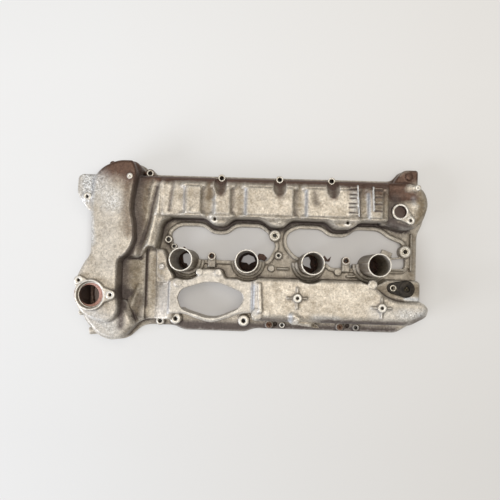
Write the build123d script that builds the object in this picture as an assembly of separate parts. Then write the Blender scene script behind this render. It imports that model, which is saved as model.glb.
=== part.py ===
"""Cylinder-head cover of a V8 engine: a cast aluminium cover with its seals, inserts and sensor.

X runs along the row of coil towers, Y across the head, Z up from the sealing face at zero.
The origin lies in the sealing plane, at the middle of the cover's length and width.
All sizes are millimetres.
"""
from build123d import *
import math
import os

# Driving dimensions
HEIGHT = 105
LENGTH = 554
BORE_PITCH = 98
TOWER_COUNT = 4
FIRST_TOWER_X = -109
TOWER_ROW_Y = -11
FLANGE = 8
WALL = 4.5
BELOW = -1
CORNER_SHARE = 0.4
SHARP_TURN = 1.1

# Coil towers
TOWER_R = 17.5
TOWER_BORE_R = 15.5
TOWER_MOUTH_R = 16.1
TOWER_MOUTH_DEPTH = 3
FOOT_RECESS_R = 22
FOOT_RECESS = 2.5
COLLAR_R = 22.5
COLLAR_TOP = 24
LEDGE_R = 27
LEDGE_TOP = 16
POCKET_R = 31
COLLAR_BACK_Y = -9
TOWERS = [(FIRST_TOWER_X + BORE_PITCH * i, TOWER_ROW_Y) for i in range(TOWER_COUNT)]

# Heights of the casting's tops above the sealing face
RIDGE_TOP = 58
RIDGE_END_TOP = 48
BLOCK_RISE = 5
PAD_TOP = 42
SHELF_TOP = 44
SHOULDER_TOP = 52
LANDING_TOP = 38
RECESS_FLOOR = 29
CASE_TOP = 76
EAR_TOP = 72
EAR_THICK = 18
LOBE_TOP = 50
TOP_LOBE_TOP = 58
LIP_TOP = 12
LIP_WIDTH = 6
HORN_TOP = 34
EDGE_BOLT_SEAT = 14
SLEEVE_TOP = 22.6
INSERT_TOP = 20.5

# Upper camshaft housing, seen from above
UPPER_OUTER_Y = 121
OUTER_ROLL = 18
ROOF_CORE_CHAMFER = 9
UPPER_INNER_Y = 57
UPPER_START_X = -150
UPPER_FINISH_X = 206
BULGE_Y = 45
BULGES = ((-80, -66, -48, -36), (8, 26, 44, 56), (112, 126, 150, 164))
BLOCKS = ((-114, -83), (-69, -37), (-19, 61), (75, 160), (171, 200))
BLOCK_SLOPE = 4
BLOCK_ROOT = 6
BLOCK_ROUND = 3
BLOCK_EDGE_GAP = (15, 4)
BLOCK_CORE_Y = (68, 99)
BLOCK_CORE_ENDS = 14
ROOF_CORE_RIGHT = 200

# Lower camshaft housing
LOWER_INNER_Y = -36
LOWER_OUTER_Y = -103
LOWER_START_X = -2
# Rolled upper edges of the lower housing: begin, end, radius
LOWER_ROLLS = [
    ((-20, LOWER_OUTER_Y), (262, LOWER_OUTER_Y), 13), ((220, -116), (290, -78), 13),
    ((262, -111), (276, -62), 9),
]

# Gasket in the sealing face
GASKET_WIDTH = 3.5
GASKET_DEPTH = 3
RAIL_MARGIN = 3.5
SEAL_SLACK = 0.2

# Fasteners and machined faces
BOLT_HOLE_R = 3.4
THREAD_R = 2.5
SLEEVE_R = 5
INSERT_R = 4.4
INSERT_BORE_R = 3
INSERT_LENGTH = 12
SLIP = 0.05
DOWEL_HEIGHT = 8
THREAD_DEPTH = 16
BOSS_DEPTH = 22
PIT_R = 3.4
PIT_SPAN = (3, 20)
EDGE_BOLT_HEAD_R = 4.8
EDGE_BOLT_HEAD = 4
EDGE_BOLT_SHANK_R = 3.1
EDGE_BOLT_KEY = 4
EDGE_BOLT_KEY_DEPTH = 2.5
EDGE_BOLT_CHAMFER = 0.6
NECK_X, NECK_Y = -248, -69
NECK_TOP = 84
NECK_FOOT = 62
NECK_R = 23.5
NECK_SEAT_R = 20.6
NECK_SEAT_DEPTH = 7
NECK_BORE_R = 18.2
NECK_LUGS = ((-217, -68), (-266, -47))
NECK_LUG_R = 7
NECK_WEB_R = 18
CAM_X, CAM_Y = 225, 74
CAM_FACE_TOP = 54
CAM_FACE_R = 13
CAM_BORE_R = 9.5
CAM_LUG = (241, 61)
CAM_LUG_R = 6.5
CAM_FACE_DEPTH = 14

# Camshaft sensor in its pocket
SENSOR_X, SENSOR_Y = 237, -46
SENSOR_EAR_X, SENSOR_EAR_Y = 217, -45
SENSOR_BORE_R = 9.5
SENSOR_NECK_R = 9
SENSOR_TIP = 14
SENSOR_PLATE = 6
SENSOR_ROUND = 1.2
SENSOR_HEAD_R = 13.5
SENSOR_EAR_R = 8.5
SENSOR_CAP_R = 11.5
SENSOR_CAP = 6
SENSOR_SOCKET_R = 5
SENSOR_SOCKET_WALL = 1.8
SENSOR_EAR_SEAT_R = 7
SLEEVE_PROUD = 0.5
CONTACTS = ((-2, -1), (2, -1), (0, 2))
CONTACT_SIZE = (1.4, 0.8, 5)
O_RING_R = 0.85
O_RING_DROP = 8

# Tower seals
SEAL_HEIGHT = 8
SEAL_INNER_R = 13
SEAL_SKIN = (2, 3.5)

# Oil separator plate under the upper housing's roof
BAFFLE_Z = 38
BAFFLE_THICK = 1.5
BAFFLE_X = (-30, 190)
BAFFLE_Y = (64, 104)
BAFFLE_SCREW_HEAD_R = 3.6
BAFFLE_SCREW_R = 1.9
BAFFLE_SCREW_LENGTH = 9
BAFFLE_SCREW_HEAD = 2
BAFFLE_SCREW_PILOT_R = 2
BAFFLE_BOSS_R = 4.5
BAFFLE_CORNER = 6
BAFFLE_BEADS_X = (10, 50, 110, 150)
BAFFLE_BEAD_SIZE = (30, 8, 2)
BAFFLE_SCREWS = [(x, y) for x in (-20, 80, 180) for y in (70, 98)]

# Outlines seen from above, point by point; corners are rounded when they are drawn
FLANGE_OUTLINE = [
    (-256, 113), (-238, 133), (-214, 144), (-190, 144),
    (-176, 133), (-166, 128), (219, 128), (231, 144), (257, 144), (257, 128), (270, 114), (277, 92),
    (270, 58), (262, 42), (262, -62), (277, -72), (275, -90), (247, -108), (231, -118), (2, -118),
    (-12, -124), (-113, -124), (-128, -117), (-178, -117), (-202, -140), (-222, -144), (-244, -137),
    (-270, -108), (-277, -69), (-272, -32), (-256, -12), (-254, 34),
]
CASE_OUTLINE = [
    (-252, 112), (-238, 129), (-214, 140), (-192, 140), (-184, 122), (-190, 94), (-193, 66),
    (-187, 41), (-186, 14), (-197, -6), (-210, -13), (-210, -62), (-206, -96), (-222, -112),
    (-252, -106), (-272, -88), (-274, -46), (-262, -20), (-252, -6), (-252, 34), (-254, 58),
]
EAR_OUTLINE = [(-277, 86), (-276, 112), (-270, 117), (-244, 117), (-240, 60), (-256, 58), (-266, 70)]
TOP_LOBE = [(-251, 108), (-236, 132), (-214, 142), (-190, 142), (-180, 130), (-193, 100), (-240, 96)]
LOW_LOBE = [(-275, -72), (-268, -107), (-243, -134), (-223, -141), (-204, -137), (-184, -114), (-200, -76)]
UPPER_END_OUTLINE = [(196, 55), (238, 44), (262, 58), (271, 88), (264, 110), (244, 121), (196, 121)]
UPPER_END_CORE = [(238, 52), (256, 62), (265, 88), (258, 106)]
SHOULDER_OUTLINE = [
    (-204, UPPER_OUTER_Y), (-128, UPPER_OUTER_Y), (-130, 60), (-150, 48), (-154, 20), (-157, 5),
    (-172, 5), (-180, -10),
    (-204, -10),
]
SHOULDER_CORE = [
    (-212, 116), (-120, 116), (-120, 62), (-153, 56), (-158, 20), (-164, 15), (-178, 15), (-186, -5),
    (-212, -5),
]
LANDING_OUTLINE = [
    (-216, 6), (-146, 6), (-128, -30), (-128, -106), (-176, -106), (-205, -132), (-222, -120),
]
LANDING_CORE = [
    (-214, 14), (-161, 14), (-151, -30), (-141, -44), (-122, -50), (-122, -90), (-180, -98), (-203, -121),
    (-214, -112),
]
RECESS_OUTLINE = [(-173, 9), (-157, 9), (-155, -42), (-155, -112), (-173, -112)]
# Side view of the slope from the recess up to the lens pad, and where it runs
RECESS_SLOPE = [(-157, 29.5), (-134.5, 38.6), (-134.5, 60), (-157, 60)]
RECESS_SLOPE_Y = (-113, -47)
RECESS_TRAY = [(-178, 14), (-152, 14), (-150, -37), (-129, -43), (-129, -112), (-178, -112)]
LENS_PAD = [
    (-135, -44), (-120, -38), (-98, -38), (-92, -24), (-52, -24), (-46, -38), (2, -38), (2, -91), (-22, -93),
    (-42, -101), (-66, -109), (-90, -103), (-110, -95), (-135, -97),
]
LENS_CORE = [(-128, -50), (-98, -44), (-46, -44), (8, -50), (8, -86), (-128, -88)]
LOWER_RIDGE = [
    (LOWER_START_X, LOWER_INNER_Y), (188, LOWER_INNER_Y), (190, -46), (206, -59), (224, -66), (262, -66),
    (272, -76), (268, -90), (246, -102), (230, LOWER_OUTER_Y), (LOWER_START_X, LOWER_OUTER_Y),
]
LOWER_CORE = [
    (3, -41), (183, -41), (186, -50), (204, -64), (222, -71), (259, -71), (265, -78), (262, -87), (244, -96),
    (228, -98), (3, -98),
]
SHELF_OUTLINE = [(180, -33), (260, -33), (260, -74), (180, -74)]
HORN_OUTLINE = [(214, 116), (221, 128), (232, 143), (256, 143), (256, 116)]
OPENING_A = [
    (-136, 22), (-138, 34), (-124, 45), (-86, 45), (-70, 33), (-46, 33), (-31, 46), (8, 46), (22, 35),
    (34, 18), (27, 3), (20, -9), (-90, -9), (-128, -4),
]
OPENING_B = [
    (51, 18), (51, 36), (68, 46), (104, 46), (120, 34), (147, 34), (162, 47), (200, 46), (216, 34),
    (238, 26), (243, 12), (243, -16), (124, -16), (116, -8), (66, 0),
]
OPENING_C = [
    (-121, -70), (-114, -57), (-78, -45), (-56, -45), (-20, -59), (-15, -70), (-24, -86), (-64, -104),
    (-114, -89),
]

GASKET_LOOP = [
    (-182, 116), (238, 116), (259, 106), (267, 87), (257, 60), (240, 49), (232, 55), (166, 53), (152, 42),
    (124, 42), (110, 51), (57, 51), (43, 41), (27, 41), (8, 51), (-37, 51), (-49, 41), (-65, 41),
    (-80, 51), (-146, 51), (-152, 40), (-154, 0), (-148, -34), (-92, -38.5), (258, -38.5),
    (258, -58), (266, -76), (260, -90), (238, -97.5), (-27, -97.5), (-39, -111), (-91, -111), (-103, -97.5),
    (-178, -97.5), (-206, -130), (-222, -136),
    (-240, -129), (-262, -103), (-269, -70), (-265, -42), (-250, -16), (-248, 34), (-249, 62),
    (-249, 110), (-234, 128), (-213, 137), (-194, 137),
]

# Bolt bosses: x, y, boss radius, boss top, hole radius
EDGE_BOSSES = [
    (-173, 127, 7, 30, BOLT_HOLE_R), (-57, 122, 6, 32, BOLT_HOLE_R), (36, 122, 6, 32, BOLT_HOLE_R),
    (119, 122, 6, 32, BOLT_HOLE_R), (-124, -105, 9, 30, BOLT_HOLE_R), (-15, -105, 9, 30, BOLT_HOLE_R),
    (-150, -110, 7, 20, BOLT_HOLE_R), (47, -111, 4.5, 15, 3), (166, -111, 5.5, 16, 3),
    (26, -111, 6.6, 14, 3.2), (140, -111, 6.6, 14, 3.2),
]
RAIL_BOSSES = [
    (-141, 22, 6, 20, BOLT_HOLE_R), (-132, 11, 4.5, 17, 3), (38, 1, 6, 20, 2.6),
    (31, 33, 9.4, 22, SLEEVE_R), (241, 13, 9.8, 22, SLEEVE_R),
    (-70, -3, 6.4, 20, INSERT_R), (147, -4, 6.4, 20, INSERT_R),
]
ROOF_BOSSES = [
    (-64, 54, 7, 48, THREAD_R), (143, 54, 7, 48, THREAD_R), (-261, 82, 6.5, 73, THREAD_R),
    (68, -65, 6.8, 66, THREAD_R), (198, -76, 6.8, 66, THREAD_R),
]
TABS = [(-70, -3), (147, -4)]
SLEEVE_PLACES = [(31, 33), (241, 13)]
EDGE_BOLT_PLACES = [(26, -111), (140, -111)]
DOWEL_PLACES = [(-150, -110), (-173, 127)]
PITS = [(36, -110), (153, -109)]
SCOOPED_BOSSES = [(-57, 122), (36, 122), (119, 122)]
SCOOP_R = 9.5
SCOOP_TILT = 43
SCOOP_Z = 44
SCOOP_LENGTH = 110
BOLT_WELL_R = 7
BOLT_WELL = (32, 46)

# Upright ribs and webs: x, y, bottom, length, width, height, turn in degrees
RIBS = [
    (10, -66, RIDGE_TOP - 2, 6, 46, 6, 4), (219, -16, 7, 44, 3, 12, 0),
    (219, 1, 7, 48, 3, 10, 8), (212, 8, 7, 18, 12, 8, -20), (252, 12, 7, 3, 60, 8, 0),
    (46, -20, 7, 20, 3, 6, 0), (160, -21, 7, 20, 3, 6, 0), (158, -29, 7, 18, 3, 6, 0),
    (68, -65, RIDGE_TOP - 1, 31, 2.6, 4.5, 0), (68, -65, RIDGE_TOP - 1, 2.6, 33, 4.5, 0),
    (198, -76, RIDGE_TOP - 1, 31, 2.6, 4.5, 0), (198, -76, RIDGE_TOP - 1, 2.6, 33, 4.5, 0),
    (-70, -12, 0, 12.4, 18, 18, 0), (147, -13, 0, 12.4, 18, 18, 0),
]
# Comb ribs on the roof: x, y, spine length, turn, teeth, the side they point to
COMBS = [(158, 88, 50, 4, 4, -1), (181, 92, 38, 3, 4, 1)]
COMB_SPINE = (2.2, BLOCK_RISE + 3.5)
COMB_TOOTH = (14, 2, BLOCK_RISE + 2.5)
COMB_SPREAD = 0.84
# Round blisters: x, y, radius, bottom, top
BLISTERS = [(6, -92, 8.5, 30, RIDGE_TOP + 1), (64, -98, 9, 30, RIDGE_TOP - 4)]
# Teardrop buttress on the lower housing: both ends as x, y, radius
BUTTRESS = ((64, -98, 8), (102, -110, 1.8))
BUTTRESS_TOP = 46
BUTTRESS_ROUND = 1.5
# Rounded folds: x, y, z, radius, length, turn in degrees
FOLDS = [(-250, -128, 22, 6, 26, 8)]

# Ejector pads: x, y, radius, top
PAD_DEPTH = 6
PADS = [
    (-195, 115, 4.7, CASE_TOP + 1.5), (-147, -22, 4.5, LANDING_TOP + 1.5),
    (-182, -56, 4.3, LANDING_TOP + 1.5),
    (27, -20, 5.4, 14), (135, -23, 5.6, 14), (184, -40, 7, RIDGE_TOP + 1), (21, -90, 5.4, RIDGE_TOP + 1),
    (-120, -47, 6, PAD_TOP + 1), (-87, -29, 5.5, PAD_TOP + 1), (-57, -29, 5.5, PAD_TOP + 1),
    (35, 56, 4.8, RIDGE_TOP + 1), (-98, 66, 5.1, RIDGE_TOP + BLOCK_RISE + 0.7),
    (249, 112, 4.6, RIDGE_END_TOP + 1),
    (241, 132, 5, HORN_TOP + 2), (-268, -96, 4.6, 40), (-229, 137, 5, LOBE_TOP),
]

# Torn openings in the tower seals, measured from each tower's middle
SEAL_TEARS = [
    [(-10, 9), (-4, 12), (9, 9), (12, -2), (6, -9), (0, -11), (-3, -5), (-8, -4)],
    [(-12, 0), (-8, 9), (0, 12.5), (9, 9), (12, 2), (5, -1), (1, -4), (-2, -1)],
    [(-12, 3), (-8, 10), (1, 12), (4, 6), (3, -1), (6, -8), (0, -5), (-6, -3)],
]
# Torn shreds of each seal's flange, in the openings beside the tower
SEAL_SHREDS = {
    0: [(-12, 15), (-9, 23), (-6, 21), (-6, 15)],
    1: [(13, 4), (17, 15), (25, 14), (31, 8), (27, 3), (21, 5)],
    2: [(13, 8), (22, 9), (27, 15), (32, 8), (38, 14), (35, 5), (24, 5.5)],
}


def corner_radii(points, corner):
    """The radius at each corner: large where the outline only turns a little."""
    radii = []
    for before, here, after in zip(points[-1:] + points[:-1], points, points[1:] + points[:1]):
        arrive = math.atan2(here[1] - before[1], here[0] - before[0])
        leave = math.atan2(after[1] - here[1], after[0] - here[0])
        turn = abs(math.remainder(leave - arrive, math.tau))
        shorter = min(math.dist(before, here), math.dist(here, after))
        gentle = CORNER_SHARE * shorter / math.tan(turn / 2)
        radii.append(corner if turn > SHARP_TURN else max(corner, gentle))
    return radii


def face_of(points, corner):
    """A flat face bounded by straight runs with rounded corners."""
    return make_face(FilletPolyline(*points, radius=corner_radii(points, corner), close=True))


def block(points, corner, bottom, top, roll=0.0):
    """An upright block with rounded corners and a rolled upper edge."""
    solid = extrude(Pos(0, 0, bottom) * face_of(points, corner), top - bottom)
    if roll:
        solid = fillet(solid.faces().sort_by(Axis.Z)[-1].edges(), roll)
    return solid


def core(points, corner, top, chamfered):
    """A core that opens at the sealing face and narrows at its roof."""
    solid = extrude(Pos(0, 0, BELOW) * face_of(points, corner), top - BELOW)
    return chamfer(solid.faces().sort_by(Axis.Z)[-1].edges(), chamfered)


def shell_core(points, corner, top):
    """A core one wall thinner than the block with the same outline."""
    return extrude(Pos(0, 0, BELOW) * offset(face_of(points, corner), -WALL), top - WALL - BELOW)


def rod(x, y, radius, bottom, top):
    """An upright round bar."""
    return Pos(x, y, (bottom + top) / 2) * Cylinder(radius, top - bottom)


def bar(x, y, z, length, width, height, turn=0.0):
    """A box that stands on z, turned about the vertical."""
    return Pos(x, y, z + height / 2) * Rot(0, 0, turn) * Box(length, width, height)


def bulged(side_y, bulge_y):
    """The towers' side of the upper housing, which bulges out round its foot bosses."""
    points = []
    for start, low, high, end in BULGES:
        points += [(start, side_y), (low, bulge_y), (high, bulge_y), (end, side_y)]
    return points


def upper_outline(inset):
    """The upper housing up to its lower right end, drawn in by the inset."""
    side = UPPER_INNER_Y + inset
    outer = UPPER_OUTER_Y - inset
    points = [(UPPER_START_X, side)] + bulged(side, BULGE_Y + inset)
    return points + [(UPPER_FINISH_X, side), (UPPER_FINISH_X, outer), (UPPER_START_X, outer)]


def raised_block(start, finish):
    """One of the raised blocks across the upper housing's roof."""
    low = RIDGE_TOP - BLOCK_ROOT
    high = RIDGE_TOP + BLOCK_RISE
    side = Polyline(
        (start, low), (start + BLOCK_SLOPE, high), (finish - BLOCK_SLOPE, high), (finish, low), close=True
    )
    outer_gap, inner_gap = BLOCK_EDGE_GAP
    length = UPPER_OUTER_Y - UPPER_INNER_Y - outer_gap - inner_gap
    rise = extrude(Plane.XZ.offset(outer_gap - UPPER_OUTER_Y) * make_face(side), length)
    return fillet(rise.faces().sort_by(Axis.Z)[-1].edges(), BLOCK_ROUND)


def edge_roll(begin, end, radius):
    """What is taken off a housing's long upper edge to roll it over; its outside is on the right."""
    length = math.dist(begin, end)
    turn = math.degrees(math.atan2(end[1] - begin[1], end[0] - begin[0]))
    edge = Pos(*begin, RIDGE_TOP - radius) * Rot(0, 0, turn) * Pos(length / 2, 0, 0)
    corner = edge * Pos(0, 0, radius) * Box(length, 2 * radius, 2 * radius)
    return corner - edge * Pos(0, radius, 0) * Rot(0, 90, 0) * Cylinder(radius, length + 2)


def scoop(x, y, radius):
    """The slanting trough above an edge boss, through which its bolt is reached."""
    return Pos(x, y, SCOOP_Z) * Rot(SCOOP_TILT, 0, 0) * Cylinder(radius, SCOOP_LENGTH)


def outer_form():
    """The casting's outside before hollows, openings and holes."""
    upper_roll = edge_roll((220, UPPER_OUTER_Y), (-215, UPPER_OUTER_Y), OUTER_ROLL)
    form = block(upper_outline(0), 5, 0, RIDGE_TOP, 4.5) - upper_roll
    lower = block(LOWER_RIDGE, 6, 0, RIDGE_TOP, 5.5)
    lower -= [edge_roll(begin, end, radius) for begin, end, radius in LOWER_ROLLS]
    form += [raised_block(start, finish) for start, finish in BLOCKS] + [
        lower,
        block(FLANGE_OUTLINE, 4, 0, FLANGE),
        block(UPPER_END_OUTLINE, 8, 0, RIDGE_END_TOP, 7),
        block(LENS_PAD, 5, 0, PAD_TOP, 3),
        block(SHELF_OUTLINE, 6, 0, SHELF_TOP, 3),
        block(SHOULDER_OUTLINE, 6, 0, SHOULDER_TOP, 5) - upper_roll,
        block(LANDING_OUTLINE, 6, 0, LANDING_TOP, 4),
        block(CASE_OUTLINE, 5, 0, CASE_TOP, 4.5),
        block(EAR_OUTLINE, 4, EAR_TOP - EAR_THICK, EAR_TOP, 2),
        block(TOP_LOBE, 8, 0, TOP_LOBE_TOP, 7),
        block(LOW_LOBE, 8, 0, LOBE_TOP, 7),
        block(HORN_OUTLINE, 4, 0, HORN_TOP, 3),
    ]
    cuts = [rod(x, y, POCKET_R, FLANGE, HEIGHT) for x, y in TOWERS]
    cuts += [scoop(x, y, SCOOP_R) for x, y in SCOOPED_BOSSES]
    cuts += [rod(x, y, BOLT_WELL_R, *BOLT_WELL) for x, y in SCOOPED_BOSSES]
    low, high = RECESS_SLOPE_Y
    slope = extrude(Plane.XZ.offset(-high) * make_face(Polyline(*RECESS_SLOPE, close=True)), high - low)
    return form - (cuts + [block(RECESS_OUTLINE, 7, RECESS_FLOOR, HEIGHT), slope])


def oil_space():
    """The cores under the cover: both camshaft housings and the chain case."""
    side = UPPER_INNER_Y + WALL
    outer = UPPER_OUTER_Y - WALL
    lower_part = [(UPPER_START_X, side)] + bulged(side, BULGE_Y + WALL) + UPPER_END_CORE
    lower_part += [(240, outer), (UPPER_START_X, outer)]
    roof = [
        (UPPER_START_X, side), (ROOF_CORE_RIGHT, side), (ROOF_CORE_RIGHT, outer), (UPPER_START_X, outer),
    ]
    block_core = RIDGE_TOP + BLOCK_RISE - WALL - FLANGE
    space = core(lower_part, 6, RIDGE_END_TOP - WALL, 5)
    space += [core(roof, ROOF_CORE_CHAMFER + 1, RIDGE_TOP - WALL, ROOF_CORE_CHAMFER)]
    space += [
        bar((start + finish) / 2, sum(BLOCK_CORE_Y) / 2, FLANGE, finish - start - BLOCK_CORE_ENDS,
            BLOCK_CORE_Y[1] - BLOCK_CORE_Y[0], block_core)
        for start, finish in BLOCKS
    ]
    space += [
        core(SHOULDER_CORE, 5, SHOULDER_TOP - WALL, 4),
        shell_core(CASE_OUTLINE, 5, CASE_TOP),
        shell_core(TOP_LOBE, 8, TOP_LOBE_TOP),
        shell_core(LOW_LOBE, 8, LOBE_TOP),
        core(LENS_CORE, 4, PAD_TOP - WALL, 3),
        core(LOWER_CORE, 6, RIDGE_TOP - WALL, 5),
        shell_core(SHELF_OUTLINE, 6, SHELF_TOP),
        core(LANDING_CORE, 4, LANDING_TOP - WALL, 3) - block(RECESS_TRAY, 7, RECESS_FLOOR - WALL, HEIGHT),
    ]
    kept = [rod(x, y, POCKET_R + WALL, BELOW, HEIGHT) for x, y in TOWERS]
    kept += [scoop(x, y, SCOOP_R + WALL) for x, y in SCOOPED_BOSSES]
    kept += [rod(x, y, BOLT_WELL_R + WALL, BELOW, BOLT_WELL[1]) for x, y in SCOOPED_BOSSES]
    kept += [rod(x, y, radius, BELOW, top) for x, y, radius, top, hole in EDGE_BOSSES]
    kept += [rod(x, y, radius, top - BOSS_DEPTH, top) for x, y, radius, top, hole in ROOF_BOSSES]
    kept += [rod(SENSOR_EAR_X, SENSOR_EAR_Y, SENSOR_EAR_SEAT_R, SHELF_TOP - BOSS_DEPTH, SHELF_TOP)]
    kept += [rod(x, y, BAFFLE_BOSS_R, BAFFLE_Z + BAFFLE_THICK, RIDGE_TOP) for x, y in BAFFLE_SCREWS]
    return space - kept


def towers():
    """The four coil towers with the stepped collars at their feet."""
    back = Pos(0, COLLAR_BACK_Y - HEIGHT, 0) * Box(LENGTH, 2 * HEIGHT, 2 * HEIGHT)
    solids = []
    for x, y in TOWERS:
        solids += [
            rod(x, y, TOWER_R, 0, HEIGHT),
            rod(x, y, COLLAR_R, 0, COLLAR_TOP) & back,
            rod(x, y, LEDGE_R, 0, LEDGE_TOP) & back,
        ]
    return solids


def neck():
    """The round two-lug opening on the chain case."""
    edges = Pos(NECK_X, NECK_Y) * Circle(NECK_R)
    for x, y in NECK_LUGS:
        lug = Pos(x, y) * Circle(NECK_LUG_R)
        near = Pos(NECK_X, NECK_Y) * Circle(NECK_WEB_R)
        edges += make_hull(lug.edges() + near.edges())
    return extrude(Pos(0, 0, NECK_FOOT) * edges, NECK_TOP - NECK_FOOT)


def cam_face():
    """The machined face of the empty camshaft sensor hole and its lug."""
    disc = Pos(CAM_X, CAM_Y) * Circle(CAM_FACE_R)
    lug = Pos(*CAM_LUG) * Circle(CAM_LUG_R)
    near = Pos(CAM_X, CAM_Y) * Circle(CAM_FACE_R - 1)
    outline = disc + make_hull(lug.edges() + near.edges())
    return extrude(Pos(0, 0, CAM_FACE_TOP - CAM_FACE_DEPTH) * outline, CAM_FACE_DEPTH)


def comb(x, y, length, turn, teeth, side):
    """A thin spine on the roof with short teeth to one side."""
    foot = RIDGE_TOP - 1
    spine_width, spine_height = COMB_SPINE
    tooth_length, tooth_width, tooth_height = COMB_TOOTH
    solids = [bar(x, y, foot, spine_width, length, spine_height, turn)]
    for i in range(teeth):
        step = length * COMB_SPREAD * (0.5 - i / (teeth - 1))
        middle = x + side * tooth_length / 2
        solids.append(bar(middle, y + step, foot, tooth_length, tooth_width, tooth_height))
    return solids


def small_ribs():
    """Stiffening ribs, webs, blisters and folds that stand on the casting."""
    solids = [bar(*rib) for rib in RIBS] + [rod(*blister) for blister in BLISTERS]
    for place in COMBS:
        solids += comb(*place)
    for x, y, z, radius, length, turn in FOLDS:
        solids.append(Pos(x, y, z) * Rot(0, 0, turn) * Rot(0, 90, 0) * Cylinder(radius, length))
    wide, narrow = [Pos(x, y) * Circle(radius) for x, y, radius in BUTTRESS]
    buttress = extrude(make_hull(wide.edges() + narrow.edges()), BUTTRESS_TOP)
    return solids + [fillet(buttress.faces().sort_by(Axis.Z)[-1].edges(), BUTTRESS_ROUND)]


def gasket_ring(widening=0.0):
    """The closed band that the seal follows round the oil space."""
    middle = face_of(GASKET_LOOP, 4)
    half = GASKET_WIDTH / 2 + widening
    return offset(middle, half) - offset(middle, -half)


def drillings():
    """The casting's bores, bolt holes, seats and gasket groove."""
    over = HEIGHT + 1
    cuts = [extrude(Pos(0, 0, BELOW) * gasket_ring(), GASKET_DEPTH - BELOW)]
    for x, y in TOWERS:
        cuts += [
            rod(x, y, TOWER_BORE_R, BELOW, over),
            rod(x, y, TOWER_MOUTH_R, HEIGHT - TOWER_MOUTH_DEPTH, over),
            rod(x, y, FOOT_RECESS_R, BELOW, FOOT_RECESS),
        ]
    cuts += [rod(x, y, hole, BELOW, top + 1) for x, y, radius, top, hole in EDGE_BOSSES + RAIL_BOSSES]
    cuts += [rod(x, y, hole, top - THREAD_DEPTH, over) for x, y, radius, top, hole in ROOF_BOSSES]
    cuts += [rod(x, y, THREAD_R, NECK_TOP - THREAD_DEPTH, over) for x, y in NECK_LUGS]
    cuts += [rod(x, y, SLEEVE_R, BELOW, DOWEL_HEIGHT) for x, y in DOWEL_PLACES]
    pilot_top = BAFFLE_Z + BAFFLE_SCREW_LENGTH + 2
    cuts += [rod(x, y, BAFFLE_SCREW_PILOT_R, BAFFLE_Z, pilot_top) for x, y in BAFFLE_SCREWS]
    cuts += [rod(x, y, PIT_R, *PIT_SPAN) for x, y in PITS]
    return cuts + [
        rod(NECK_X, NECK_Y, NECK_BORE_R, NECK_FOOT - WALL, over),
        rod(NECK_X, NECK_Y, NECK_SEAT_R, NECK_TOP - NECK_SEAT_DEPTH, over),
        rod(CAM_X, CAM_Y, CAM_BORE_R, BELOW, over),
        rod(*CAM_LUG, THREAD_R, CAM_FACE_TOP - CAM_FACE_DEPTH, over),
        rod(SENSOR_X, SENSOR_Y, SENSOR_BORE_R, BELOW, over),
        rod(SENSOR_EAR_X, SENSOR_EAR_Y, THREAD_R, SHELF_TOP - THREAD_DEPTH, over),
    ]


def cover_casting():
    """The one-piece aluminium casting."""
    casting = outer_form() - oil_space()
    casting += [extrude(gasket_ring(RAIL_MARGIN), FLANGE)] + [
        extrude(offset(face_of(points, 8), LIP_WIDTH), LIP_TOP) for points in (OPENING_A, OPENING_B)
    ]
    casting -= [
        block(OPENING_A, 8, BELOW, LIP_TOP + 1),
        block(OPENING_B, 8, BELOW, LIP_TOP + 1),
        block(OPENING_C, 6, BELOW, HEIGHT),
    ]
    added = towers() + small_ribs() + [neck(), cam_face()]
    added += [rod(x, y, radius, 0, top) for x, y, radius, top, hole in EDGE_BOSSES + RAIL_BOSSES]
    added += [rod(x, y, radius, top - BOSS_DEPTH, top) for x, y, radius, top, hole in ROOF_BOSSES]
    added += [rod(x, y, radius, top - PAD_DEPTH, top) for x, y, radius, top in PADS]
    return (casting + added) - drillings()


def perimeter_gasket():
    """The rubber seal that lies in the groove of the sealing face."""
    return extrude(gasket_ring(-SEAL_SLACK), GASKET_DEPTH - SEAL_SLACK)


def ring(x, y, outer, inner, bottom, top):
    """An upright tube."""
    return rod(x, y, outer, bottom, top) - rod(x, y, inner, bottom - 1, top + 1)


def tower_seal(index):
    """A rubber seal in a tower's foot, whose thin skin is torn open on all but the last."""
    seal = rod(0, 0, TOWER_BORE_R - SLIP, 0, SEAL_HEIGHT) + rod(0, 0, TOWER_R, 0, FOOT_RECESS - SLIP)
    low, high = SEAL_SKIN
    seal -= [rod(0, 0, SEAL_INNER_R, high, SEAL_HEIGHT + 1), rod(0, 0, SEAL_INNER_R, BELOW, low)]
    if index < len(SEAL_TEARS):
        tear = make_face(Polyline(*SEAL_TEARS[index], close=True))
        seal -= extrude(Pos(0, 0, BELOW) * tear, SEAL_HEIGHT)
    if index in SEAL_SHREDS:
        shred = make_face(Polyline(*SEAL_SHREDS[index], close=True))
        seal += extrude(shred, FOOT_RECESS - SLIP)
    x, y = TOWERS[index]
    return Pos(x, y, 0) * seal


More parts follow.
